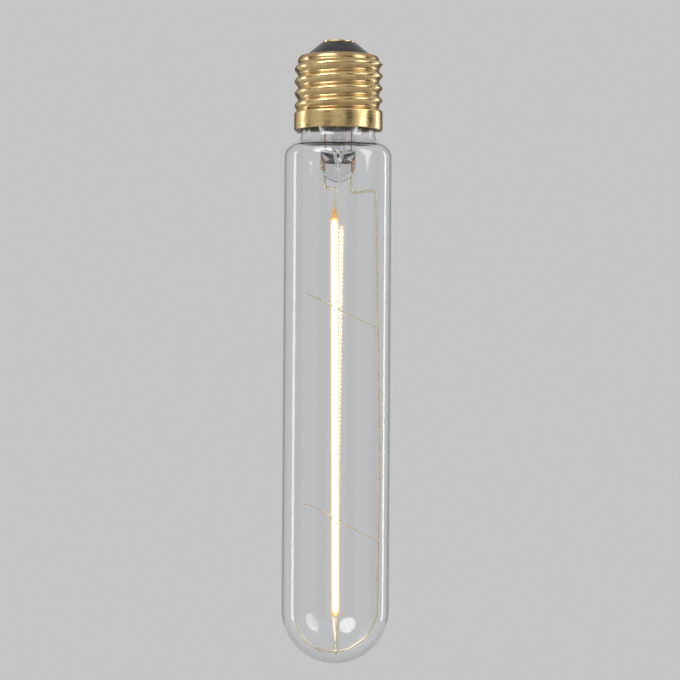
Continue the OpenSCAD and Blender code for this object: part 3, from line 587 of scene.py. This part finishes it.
die = plain("led_die", (0.35, 0.45, 0.75), (0.45, 0.5, 0.7), (0.1, 0.25),
            Emission_Color=(1.0, 0.85, 0.6), Emission_Strength=2.0)
sleeve_plastic = plain("sleeve_plastic", (0.78, 0.76, 0.70), (0.70, 0.67, 0.60), (0.4, 0.6))
laminate = plain("board_laminate", (0.03, 0.16, 0.06), (0.05, 0.22, 0.09), (0.25, 0.45))
moulding = plain("black_moulding", (0.022, 0.022, 0.024), (0.04, 0.04, 0.042), (0.45, 0.7))
capacitor = plain("capacitor_sleeve", (0.03, 0.04, 0.09), (0.05, 0.06, 0.13), (0.2, 0.4))
resistor = plain("resistor_lacquer", (0.25, 0.36, 0.28), (0.32, 0.42, 0.33), (0.3, 0.5))
chip_ceramic = plain("capacitor_ceramic", (0.40, 0.27, 0.14), (0.5, 0.36, 0.2), (0.5, 0.7))


# Glass
def envelope_side(inset):
    """Radius and height from the neck's rim down to the tip, on the wall's outside or inside."""
    slope = math.radians(SHOULDER_SLOPE)
    rise = TUBE_R - NECK_R
    cone = (rise - 2 * SHOULDER_R * (1 - math.cos(slope))) / math.sin(slope)
    z_tube = Z_SHOULDER_TOP - 2 * SHOULDER_R * math.sin(slope) - cone * math.cos(slope)
    return (
        [(NECK_R - inset, Z_NECK_TOP)]
        + arc((NECK_R + SHOULDER_R, Z_SHOULDER_TOP), SHOULDER_R + inset, 180,
              180 + SHOULDER_SLOPE, 20)
        + arc((TUBE_R - SHOULDER_R, z_tube), SHOULDER_R - inset, SHOULDER_SLOPE, 0, 20)
        + [(TUBE_R - inset, z) for z in np.linspace(z_tube - 2, Z_TUBE_END + 2, 40)]
        + arc((0, Z_TUBE_END), TUBE_R - inset, 0, -90, 44)
    )


def envelope_shape():
    return spin(envelope_side(0) + envelope_side(GLASS_WALL)[::-1], sides=192)


def stem_side(inset):
    """Radius and height down the stem's wall, from the flare's rim to where its tube begins."""
    flare = [(STEM_R - inset + (FLARE_R - STEM_R) * u ** FLARE_POWER,
              Z_FLARE_WAIST + FLARE_HEIGHT * u) for u in np.linspace(1, 0, 24)]
    return [(FLARE_R - inset, Z_FLARE_RIM)] + flare


def pinched(point, softness=3, margin=1):
    """A point of the stem's blank, pressed flat from front to back below the stem's floor."""
    x, y, z = point
    half_t = np.interp(z, [Z_PRESS, Z_STEM_FLOOR], [PRESS_HALF_T, STEM_R + 0.4])
    flat = abs(y) / (1 + (abs(y) / half_t) ** softness) ** (1 / softness)
    share = float(ease((Z_STEM_FLOOR + margin - z) / (2 * margin)))
    return x, math.copysign(abs(y) + (flat - abs(y)) * share, y), z


def stem_shape(sides=112):
    """The stem's outer and inner skins, joined at the flare's rim."""
    z_dome = Z_PRESS_BOTTOM + STEM_R
    outside = (stem_side(0)
               + [(STEM_R, z) for z in np.linspace(Z_FLARE_WAIST - 0.4, z_dome + 0.3, 18)]
               + arc((0, z_dome), STEM_R, 0, -90, 28))
    bore_r = STEM_R - STEM_WALL
    floor_r, mouth_r, throat = 0.6, 0.25, 0.3
    z_throat = Z_STEM_FLOOR - throat
    inside = (stem_side(STEM_WALL)
              + [(bore_r, Z_FLARE_WAIST - 1)]
              + arc((bore_r - floor_r, Z_STEM_FLOOR + floor_r), floor_r, 0, -90, 5)
              + arc((EXHAUST_BORE_R + mouth_r, Z_STEM_FLOOR - mouth_r), mouth_r, 90, 180, 4)
              + [(EXHAUST_BORE_R + (BLOW_HOLE_R - EXHAUST_BORE_R) * u,
                  z_throat + (Z_BLOW_HOLE - z_throat) * u) for u in (0.3, 0.65, 1)]
              + arc((0, Z_BLOW_HOLE), BLOW_HOLE_R, 0, -90, 5)[1:])
    blank = spin(outside, sides, closed=False)
    pressed = [pinched(p) for p in blank[0]], blank[1]
    points, faces = joined(pressed, spin(inside, sides, closed=False))
    first = len(blank[0])
    for j in range(sides):
        k = (j + 1) % sides
        faces.append((j, k, first + k, first + j))
    return points, faces


def exhaust_shape():
    """The stub of the exhaust tube, drawn to a round tip."""
    z_base = low("exhaust_tube", "z")
    z_tip = high("exhaust_tube", "z") - EXHAUST_TIP
    outside = [(EXHAUST_R, z) for z in np.linspace(z_base, z_tip, 8)]
    outside += arc((0, z_tip), EXHAUST_R, 5.73, 90, 13, EXHAUST_TIP)
    bore = arc((0, z_tip), EXHAUST_BORE_R, 90, 0, 13, EXHAUST_TIP - EXHAUST_WALL)
    bore += [(EXHAUST_BORE_R, z) for z in np.linspace(z_tip - 1, z_base, 7)]
    return spin(outside + bore, sides=64)


piece("glass_envelope", envelope_shape(), clear_glass, "envelope", sharp=60)
piece("stem_press", stem_shape(), stem_glass, "stem", sharp=60)
piece("exhaust_stub", exhaust_shape(), stem_glass, "exhaust_tube", sharp=60)

# Wires
foot = [(FOOT_X + FOOT_R * reach * math.cos(math.radians(bearing)), 0,
         Z_FOOT + FOOT_R + FOOT_R * reach * math.sin(math.radians(bearing)))
        for bearing, reach in FOOT_BENDS + [FOOT_END]]


def frame_wire_shape():
    """The long wire from the press, down beside the glass and round its tip."""
    corners = [(LEAD_X, 0, Z_BUTT_WELD), (LEAD_X, 0, Z_FRAME_BEND), (RUN_TOP[0], 0, RUN_TOP[1]),
               (RUN_MIDDLE[0], 0, RUN_MIDDLE[1]), *foot]
    radii = [FRAME_BEND_R, FRAME_CORNER_R, FRAME_BOW_R] + [FOOT_BEND_R] * len(FOOT_BENDS)
    return sweep(*beaded(bent(corners, radii, step=3), LEAD_R, [BUTT_BEAD, FRAME_BEAD]))


def short_lead_shape():
    """The short wire from the press to the front of the top tab."""
    lap_y = -(STRIP_HALF_T + LEAD_R + WELD_GAP)
    corners = [(-LEAD_X, 0, Z_BUTT_WELD), (-LEAD_X, 0, Z_SHORT_RUN[0]),
               (COAT_TOP.x + SHORT_LAP[0], lap_y, Z_SHORT_RUN[1]),
               (COAT_TOP.x + SHORT_LAP[1], lap_y, COAT_TOP.z + SHORT_LAP[2])]
    route = bent(corners, [SHORT_BEND_R, SHORT_BEND_R])
    return sweep(*beaded(route, LEAD_R, [BUTT_BEAD, SHORT_BEAD]))


def seal_shape(hand):
    """The straight wire sealed in the press on one side."""
    heights = np.linspace(low("dumet_seals", "z"), high("dumet_seals", "z"), 6)
    return sweep([(hand * LEAD_X, 0, z) for z in heights], SEAL_R, sides=16)


def outer_lead_shape(node, hand):
    """The copper lead from a seal up to the driver's board."""
    corners = [(hand * LEAD_X, 0, low(node, "z")), (hand * LEAD_X, 0, Z_OUTER_LEAD_BENDS[0]),
               (hand * OUTER_LEAD_X, 0, Z_OUTER_LEAD_BENDS[1]),
               (hand * OUTER_LEAD_X, 0, high(node, "z"))]
    return sweep(bent(corners, [OUTER_LEAD_BEND_R, OUTER_LEAD_BEND_R]), SEAL_R, sides=16)


def filament_x(z):
    return float(np.interp(z, [COAT_BOTTOM.z, COAT_TOP.z], [COAT_BOTTOM.x, COAT_TOP.x]))


def run_x(z):
    heights = [foot[0][2], RUN_MIDDLE[1], Z_FRAME_BEND]
    return float(np.interp(z, heights, [foot[0][0], RUN_MIDDLE[0], RUN_TOP[0]]))


def anchor_shape(z_weld, slope, tail):
    """Straight from its weld on the long run, once round the filament, and straight on.

    The tail gives the places of its points along x, and how far each lies above the straight.
    """
    weld_x = run_x(z_weld)
    x = filament_x(z_weld + slope * weld_x)
    z = z_weld + slope * (weld_x - x)
    turns = np.linspace(0, 2 * math.pi, 49)
    loop = [(x - ANCHOR_LOOP_R * math.sin(a), -ANCHOR_LOOP_R * math.cos(a),
             z + slope * ANCHOR_LOOP_R * math.sin(a) + ANCHOR_CLIMB * (a / (2 * math.pi) - 0.5))
            for a in turns]
    ends = [(tx, -ANCHOR_LOOP_R, z + slope * (x - tx) + ANCHOR_CLIMB / 2 + lift)
            for tx, lift in tail]
    weld = (weld_x, -(LEAD_R + ANCHOR_R + WELD_GAP), z_weld)
    return sweep(*beaded([weld, *loop, *ends], ANCHOR_R, [ANCHOR_BEAD]), sides=14)


def hook_shape():
    """The thin wire from the lower tab, down under the foot and up again behind it."""
    side = HOOK_HALF_W * np.array([math.cos(HOOK_BEARING), -math.sin(HOOK_BEARING)])
    corners = [
        (HOOK_LAP[0], -(STRIP_HALF_T + HOOK_R + WELD_GAP), Z_TAB_END + HOOK_LAP[1]),
        (HOOK_X - HOOK_LEAN[0] + side[0], side[1], Z_TAB_END - HOOK_LEAN[1]),
        (HOOK_X + side[0], side[1], Z_HOOK_BOTTOM),
        (HOOK_X - side[0], -side[1], Z_HOOK_BOTTOM),
        (HOOK_X - side[0], -side[1], Z_HOOK_STUB),
    ]
    return sweep(bent(corners, [HOOK_LEAN_R, HOOK_BEND_R, HOOK_BEND_R]), HOOK_R, sides=16)


piece("frame_wire_drawn", frame_wire_shape(), nickel, "frame_wire")
piece("short_lead_drawn", short_lead_shape(), nickel, "lead_short")
piece("seal_wires", joined(seal_shape(-1), seal_shape(1)), copper, "dumet_seals")
for node, hand in (("outer_lead_live", -1), ("outer_lead_neutral", 1)):
    piece(node + "_drawn", outer_lead_shape(node, hand), copper, node)
upper_tail = [(UPPER_END_X, 0)]
lower_tail = [(LOWER_KINK_X, 0),
              (LOWER_KINK_X - LOWER_TIP[0], LOWER_TIP[1] - LOWER_SLOPE * LOWER_TIP[0])]
piece("anchor_upper_drawn", anchor_shape(Z_UPPER_WELD, UPPER_SLOPE, upper_tail), nickel,
      "anchor_upper")
piece("anchor_lower_drawn", anchor_shape(Z_LOWER_WELD, LOWER_SLOPE, lower_tail), nickel,
      "anchor_lower")
piece("hook_drawn", hook_shape(), nickel, "filament_hook")

# Filament
down = (COAT_BOTTOM - COAT_TOP).normalized()
sideways = Vector((0, 1, 0)).cross(-down).normalized()


def on_filament(across, y, along):
    """A point given by its place across, in front of and along the filament."""
    return COAT_TOP + sideways * across + Vector((0, y, 0)) + down * along


def coat_size(along):
    """The coat's size at a place along it: smaller in its rounded ends, a little larger at a die."""
    near_end = min(1, min(along, COAT_LENGTH - along) / COAT_END)
    rounding = math.sqrt(max(0.0, 1 - (1 - near_end) ** 2))
    from_die = 1 - math.cos(2 * math.pi * (along - CHIP_START) / CHIP_PITCH)
    return (rounding * (1 - COAT_TIP_SHARE) + COAT_TIP_SHARE) * (1 - BEAD_SWELL * from_die)


def coat_half(name, node, hand):
    """One half of the silicone coat, with rounded ends, hand -1 in front and 1 behind."""
    ends = [COAT_END * (1 - math.cos(a)) for a in np.linspace(0, math.pi / 2, 9)]
    stations = ends + list(np.linspace(COAT_END, COAT_LENGTH - COAT_END, 180)[1:-1])
    stations += [COAT_LENGTH - e for e in reversed(ends)]
    turns = np.linspace(0, math.pi, 25)
    wide = len(turns)
    points, marks, faces = [], [], []
    for s in stations:
        size = coat_size(s)
        for a in turns:
            u = math.copysign(abs(math.cos(a)) ** (2 / COAT_SQUARENESS), math.cos(a))
            v = math.sin(a) ** (2 / COAT_SQUARENESS)
            points.append(on_filament(COAT_HALF_W * size * u, hand * COAT_HALF_T * size * v, s))
            marks.append((u, -hand * v, s - CHIP_START))
    for i in range(len(stations) - 1):
        for j in range(wide - 1):
            a = i * wide + j
            faces.append((a, a + 1, a + wide + 1, a + wide))
        faces.append((i * wide + wide - 1, i * wide, (i + 1) * wide, (i + 1) * wide + wide - 1))
    faces.append(tuple(range(wide)))
    faces.append(tuple(len(points) - 1 - j for j in range(wide)))
    half = piece(name, (points, faces), phosphor, node)
    across, front, along = zip(*marks)
    mark(half, across=across, front=front, along=along)


def silicone_nose():
    """Silicone run up over the top tab and the end of the lead welded to it."""
    along = np.linspace(-NOSE_LENGTH, NOSE_IN_COAT, 16)
    rounded = ease((along - NOSE_ROUND_START) / NOSE_ROUND_LENGTH)
    swollen = ease((along - NOSE_SWELL_START) / NOSE_SWELL_LENGTH)
    radii = NOSE_R + NOSE_ROUND_GAIN * rounded + NOSE_SWELL_GAIN * swollen
    route = [on_filament(NOSE_TIP_PLACE[0] * (1 - t), NOSE_TIP_PLACE[1] * (1 - t), s)
             for s, t in zip(along, swollen)]
    nose = piece("silicone_nose", sweep(route, radii, sides=24), phosphor)
    count = len(nose.data.vertices)
    mark(nose, across=[0.85] * count, front=[1] * count, along=[-3] * count)


def plate(outline):
    """A flat plate of the strip's thickness, with an outline of points across and along."""
    count = len(outline)
    points = [on_filament(x, y, s) for y in (-STRIP_HALF_T, STRIP_HALF_T) for x, s in outline]
    faces = [tuple(range(count)), tuple(range(2 * count - 1, count - 1, -1))]
    faces += [(j, (j + 1) % count, count + (j + 1) % count, count + j) for j in range(count)]
    return points, faces


def tab_top_shape():
    right = [(STRIP_HALF_W, TAB_IN_COAT), (STRIP_HALF_W, -TAB_NECK[0]),
             (TAB_TIP_HALF_W, -TAB_NECK[1]), (TAB_TIP_HALF_W, -TAB_TOP_LENGTH)]
    left = [(-x, s) for x, s in reversed(right)]
    return plate(left[-1:] + right + left[:-1])


def tab_bottom_shape():
    end = COAT_LENGTH
    return plate([
        (-STRIP_HALF_W, end - TAB_IN_COAT), (STRIP_HALF_W, end - TAB_IN_COAT),
        (STRIP_HALF_W, end + TAB_SHOULDER[0]), (TAB_HALF_W, end + TAB_SHOULDER[1]),
        (TAB_HALF_W, end + TAB_TAPER), (TAB_END_X[1], end + TAB_BOTTOM_LENGTH),
        (TAB_END_X[0], end + TAB_BOTTOM_LENGTH), (TAB_SHOULDER_X, end + TAB_SHOULDER[1]),
        (-STRIP_HALF_W, end + TAB_SHOULDER[0]),
    ])


coat_half("coat_front", "phosphor_front", -1)
coat_half("coat_rear", "phosphor_rear", 1)
silicone_nose()
piece("tab_top_plate", tab_top_shape(), plated, "filament_tab_top", bevel=0.05)
piece("tab_bottom_plate", tab_bottom_shape(), plated, "filament_tab_bottom", bevel=0.05)


# Screw cap
def thread_radius(z, angle):
    """The shell's outer radius, where the thread fades out into the roof and into the skirt."""
    wave = 0.5 + 0.5 * math.cos(2 * math.pi * z / THREAD_PITCH - angle)
    grow = float(ease((Z_THREAD_TOP - z) / THREAD_FADE))
    flatten = float(ease((Z_SKIRT_TOP + THREAD_FADE - z) / THREAD_FADE))
    threaded = ROOT_R + THREAD_DEPTH * wave * grow
    skirt_start_r = SKIRT_R - 0.03
    return threaded + (skirt_start_r - threaded) * flatten


def shell_rows():
    """Radius, height and inset of each row of the shell. A radius of None follows the thread."""
    lip_drop, half = 0.02, SHEET / 2
    lip_r = ROOF_OPENING_R + ROOF_LIP
    skirt_r = SKIRT_R - 0.02
    rows = [(ROOF_OPENING_R, Z_ROOF - lip_drop, 0), (lip_r, Z_ROOF, 0)]
    bend = arc((ROOF_R - ROOF_BEND_R, Z_ROOF - ROOF_BEND_R), ROOF_BEND_R, 90, 15, steps=8)
    rows += [(r, z, 0) for r, z in bend]
    rows += [(None, z, 0) for z in np.linspace(Z_THREAD_TOP, Z_SKIRT_TOP, 124)]
    rows += [(skirt_r, z, 0) for z in np.linspace(Z_SKIRT_TOP - 0.4, Z_RIM + 0.5, 8)]
    rows += [(r, z, 0) for r, z in arc((SKIRT_R - half, Z_RIM + half), half, 0, -180, 8)]
    rows += [(SKIRT_R - SHEET, z, 0) for z in np.linspace(Z_RIM + 0.4, Z_SKIRT_TOP - 0.3, 5)]
    rows += [(None, z, SHEET) for z in np.linspace(Z_SKIRT_TOP, Z_THREAD_TOP, 62)]
    rows += [(lip_r, Z_ROOF - SHEET, 0), (ROOF_OPENING_R, Z_ROOF - SHEET + lip_drop, 0)]
    return rows


def shell_shape(sides=160):
    """The rolled shell as one sheet with an outer and an inner side: roof, thread, skirt, rim."""
    rows = shell_rows()
    points, faces = [], []
    for r, z, inset in rows:
        for j in range(sides):
            a = 2 * math.pi * j / sides
            here = (thread_radius(z, a) if r is None else r) - inset
            points.append((here * math.cos(a), here * math.sin(a), z))
    for i in range(len(rows)):
        n = (i + 1) % len(rows)
        for j in range(sides):
            k = (j + 1) % sides
            faces.append((i * sides + j, i * sides + k, n * sides + k, n * sides + j))
    return points, faces


def insulator_shape():
    """The black glass insulator, a little wavy on its cone."""
    z_cone = Z_ROOF + 0.3
    z_ledge = Z_ROOF - SHEET - 0.15
    opening_r = ROOF_OPENING_R - 0.1
    outline = [(INSULATOR_HOLE_R, Z_INSULATOR_TOP), (INSULATOR_TOP_R, Z_INSULATOR_TOP),
               (opening_r, z_cone), (opening_r, z_ledge), (INSULATOR_R, z_ledge - 0.9),
               (INSULATOR_R, Z_INSULATOR_BOTTOM), (INSULATOR_HOLE_R, Z_INSULATOR_BOTTOM)]
    return roughened(spin(fillet(outline, 0.35), sides=128), amount=0.05, size=2.2,
                     keep=lambda p: float(z_cone < p[2] < Z_INSULATOR_TOP - 0.05))


def contact_shape():
    """The contact disc, with its tube down into the insulator."""
    z_under = Z_CONTACT - CONTACT_T
    outline = [(CONTACT_HOLE_R, Z_CONTACT), (CONTACT_R - CONTACT_BEVEL, Z_CONTACT),
               (CONTACT_R, Z_CONTACT - CONTACT_BEVEL), (CONTACT_R, z_under),
               (CONTACT_TUBE_R, z_under), (CONTACT_TUBE_R, Z_CONTACT_TUBE),
               (CONTACT_HOLE_R, Z_CONTACT_TUBE)]
    return spin(fillet(outline, 0.12), sides=96)


def centre_solder_shape():
    """A dome of solder, uneven all round its foot and flat on top."""
    outline = [(0, Z_CONTACT), (SOLDER_FLAT_R, Z_CONTACT)]
    outline += arc((SOLDER_FLAT_R, Z_CONTACT), SOLDER_R - SOLDER_FLAT_R, 0, 90, 13, -Z_CONTACT)
    outline += [(SOLDER_FLAT_R / 2, 0), (0, 0)]
    points, faces = roughened(spin(outline, sides=72, closed=False), amount=0.09, size=1.3,
                              keep=lambda p: float(p[2] < -0.03))
    return [(x, y, min(z, 0)) for x, y, z in points], faces


def rim_wire_shape():
    """The wire from the board, over the sleeve's edge and down to the shell's rim."""
    corners = [(RIM_WIRE_BOARD_R, 0, Z_RIM_WIRE_STUB), (RIM_WIRE_BOARD_R, 0, Z_RIM_WIRE_TOP),
               (RIM_WIRE_OUT_R, 0, Z_RIM_WIRE_TOP), (RIM_WIRE_OUT_R, 0, Z_RIM_WIRE),
               (RIM_WIRE_END_R, 0, Z_RIM_WIRE)]
    route = bent(corners, [RIM_WIRE_BEND_R, RIM_WIRE_BEND_R, RIM_WIRE_HEM_R])
    turned = [(p[0] * math.cos(RIM_WIRE_BEARING), p[0] * math.sin(RIM_WIRE_BEARING), p[2])
              for p in route]
    return sweep(turned, BOARD_WIRE_R, sides=16)


def side_solder_shape():
    """An uneven drop of solder under the shell's rim, over the end of the wire."""
    outline = [(0, 0), (SIDE_SOLDER_R, 0)]
    outline += arc((0, 0), SIDE_SOLDER_R, 6.875, 90, 9, -SIDE_SOLDER_DEPTH)
    points, faces = roughened(spin(outline, sides=36, closed=False), amount=0.06, size=0.7,
                              keep=lambda p: float(p[2] < -0.02))
    x0 = SIDE_SOLDER_PLACE_R * math.cos(RIM_WIRE_BEARING)
    y0 = SIDE_SOLDER_PLACE_R * math.sin(RIM_WIRE_BEARING)
    return [(x + x0, y + y0, z + Z_RIM) for x, y, z in points], faces


def cement_shape():
    """The cement between neck and shell, rough on its underside."""
    inner_r = NECK_R + FIT_GAP
    z_edge = Z_CEMENT_BOTTOM + 0.1
    outline = [(inner_r, Z_CEMENT_TOP), (CEMENT_TOP_R, Z_CEMENT_TOP), (CEMENT_TOP_R, Z_SKIRT_TOP),
               (CEMENT_R, Z_SKIRT_TOP - 0.4)]
    outline += [(CEMENT_R, z) for z in (Z_RIM + 3, Z_RIM + 1, z_edge)]
    outline += [(r, Z_CEMENT_BOTTOM) for r in np.linspace(CEMENT_R - 0.15, inner_r + 0.15, 8)]
    outline += [(inner_r, z) for z in (z_edge, Z_RIM + 3, Z_RIM + 5)]
    return roughened(spin(outline, sides=180), amount=0.12, size=1.5,
                     keep=lambda p: float(p[2] < Z_CEMENT_BOTTOM + 0.3) * 0.8)


piece("threaded_shell", shell_shape(), brass, "screw_shell", sharp=50)
piece("vitrite_insulator", insulator_shape(), vitrite, "cap_insulator", sharp=40)
piece("contact_disc", contact_shape(), contact_brass, "centre_contact", sharp=40)
piece("centre_solder_dot", centre_solder_shape(), tin, "centre_solder", sharp=50)
piece("rim_wire_drawn", rim_wire_shape(), copper, "rim_wire")
piece("side_solder_dot", side_solder_shape(), tin, "side_solder", sharp=60)
piece("cement_fill", cement_shape(), cement, "cement_ring", sharp=50)

# CAD nodes that keep their own shape
for node, material in {
    "filament_strip": ceramic_strip, "filament_chips": die, "driver_sleeve": sleeve_plastic,
    "driver_board": laminate, "bridge_rectifier": moulding, "driver_chip": moulding,
    "bulk_capacitor": capacitor, "fuse_resistor": resistor, "board_resistors": moulding,
    "board_capacitors": chip_ceramic, "board_solder": tin,
}.items():
    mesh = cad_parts[node].data
    mesh.materials.clear()
    mesh.materials.append(material)

# Studio, with its places and powers in metres and watts
BACKDROP = (0.56, 0.56, 0.56)
LAMP_MIDDLE = (0, 0, -0.09)
Z_FLOOR = -0.42
FLOOR_RADII = (6, 1.6, 0.8, 0.4, 0.2, 0)
FLOOR_FADE = (0.3, 0.9)
CARDS = 6
CARD_RING_R = 0.95
CARD_HALF_W = 0.17
CARD_Z = (-0.4, 0.5)
COOL = (0.93, 0.96, 1.0)
CAMERA_PLACE = (0.00092, -0.6626, -0.0892)
CAMERA_ROLL = math.radians(-0.38)
CAMERA_LENS = 118.16


def seen(tree):
    """1 for rays from the camera, and for those that glass or metal sends on."""
    path = tree.nodes.new("ShaderNodeLightPath")
    total = path.outputs["Is Camera Ray"]
    for key in ("Is Glossy Ray", "Is Transmission Ray"):
        node = tree.nodes.new("ShaderNodeMath")
        node.operation = "MAXIMUM"
        tree.links.new(total, node.inputs[0])
        tree.links.new(path.outputs[key], node.inputs[1])
        total = node.outputs[0]
    return total


def studio_world():
    """A plain world, a little darker as a light than it is seen."""
    world = bpy.data.worlds.new("studio")
    world.use_nodes = True
    scene.world = world
    tree = world.node_tree
    mix = tree.nodes.new("ShaderNodeMix")
    mix.data_type = "RGBA"
    tree.links.new(seen(tree), mix.inputs[0])
    mix.inputs[6].default_value = (0.45, 0.45, 0.46, 1)
    mix.inputs[7].default_value = (*BACKDROP, 1)
    tree.links.new(mix.outputs[2], tree.nodes["Background"].inputs["Color"])


def floor_paint():
    """A pale floor that keeps its shadows, fades far off into the backdrop and has one side."""
    p = Paint("floor_paint", Base_Color=(0.58, 0.58, 0.58), Roughness=1.0, Specular_IOR_Level=0.0)
    share = p.math("MULTIPLY", p.range(p.radius(), *FLOOR_FADE), seen(p.tree))
    glow = p.add("Emission", {"Color": BACKDROP})
    top = p.add("MixShader", {0: share, 1: p.shader.outputs[0], 2: glow.outputs[0]})
    under = p.add("NewGeometry").outputs["Backfacing"]
    clear = p.add("BsdfTransparent")
    one_sided = p.add("MixShader", {0: under, 1: top.outputs[0], 2: clear.outputs[0]})
    p.tree.links.new(one_sided.outputs[0], p.out.inputs["Surface"])
    return p.material


def stage_object(name, mesh, material):
    mesh.materials.append(material)
    obj = bpy.data.objects.new(name, mesh)
    scene.collection.objects.link(obj)
    return obj


def floor_mesh():
    rings = [(r / MM, Z_FLOOR / MM) for r in FLOOR_RADII]
    return mesh_of("floor", spin(rings, sides=96, closed=False))


def card_paint():
    material = bpy.data.materials.new("card_paint")
    material.use_nodes = True
    shader = material.node_tree.nodes["Principled BSDF"]
    shader.inputs["Base Color"].default_value = (0.02, 0.02, 0.02, 1)
    shader.inputs["Roughness"].default_value = 1.0
    return material


def card_mesh():
    """Upright cards all round the lamp."""
    corners, faces = [], []
    for i in range(CARDS):
        bearing = 2 * math.pi * i / CARDS
        way = Vector((math.cos(bearing), math.sin(bearing), 0))
        across = Vector((-way.y, way.x, 0))
        for x, z in ((-1, CARD_Z[0]), (1, CARD_Z[0]), (1, CARD_Z[1]), (-1, CARD_Z[1])):
            corners.append(way * CARD_RING_R + across * CARD_HALF_W * x + Vector((0, 0, z)))
        faces.append(tuple(range(4 * i, 4 * i + 4)))
    mesh = bpy.data.meshes.new("cards")
    mesh.from_pydata(corners, [], faces)
    return mesh


def lamp(name, shape, place, size, power, colour=(1, 1, 1), through=True):
    """A softbox aimed at the object. It can be kept out of what is seen through glass."""
    data = bpy.data.lights.new(name, "AREA")
    data.shape = shape
    data.size, data.size_y = size
    data.energy = power
    data.color = colour
    obj = bpy.data.objects.new(name, data)
    obj.location = place
    obj.rotation_mode = "QUATERNION"
    obj.rotation_quaternion = (Vector(LAMP_MIDDLE) - Vector(place)).to_track_quat("-Z", "Y")
    obj.visible_camera = False
    obj.visible_transmission = through
    scene.collection.objects.link(obj)


def studio_camera():
    """The camera, level with the middle of the lamp and rolled as little as the photograph's."""
    data = bpy.data.cameras.new("camera")
    data.sensor_width = 36
    data.lens = CAMERA_LENS
    data.clip_start, data.clip_end = 0.01, 50
    camera = bpy.data.objects.new("camera", data)
    camera.location = CAMERA_PLACE
    camera.rotation_euler = (math.pi / 2, CAMERA_ROLL, 0)
    scene.collection.objects.link(camera)
    scene.camera = camera


studio_world()
stage_object("floor", floor_mesh(), floor_paint())

# Dark cards seen only in reflections, as a photographer uses them to draw the edges of glass
cards = stage_object("dark_cards", card_mesh(), card_paint())
cards.visible_camera = False
cards.visible_diffuse = False
cards.visible_transmission = False
cards.visible_shadow = False

lamp("key", "ELLIPSE", (-0.55, -0.7, 0.65), (0.8, 0.8), 8.5)
lamp("fill", "ELLIPSE", (0.8, -0.35, 0.35), (0.5, 0.7), 2.8, colour=(0.95, 0.97, 1.0))
lamp("strip_left", "RECTANGLE", (-0.75, 0.18, -0.06), (0.12, 0.7), 1.3, COOL, through=False)
lamp("strip_right", "RECTANGLE", (0.7, 0.42, -0.06), (0.09, 0.7), 1.0, COOL, through=False)
studio_camera()
scene.view_settings.view_transform = "Standard"
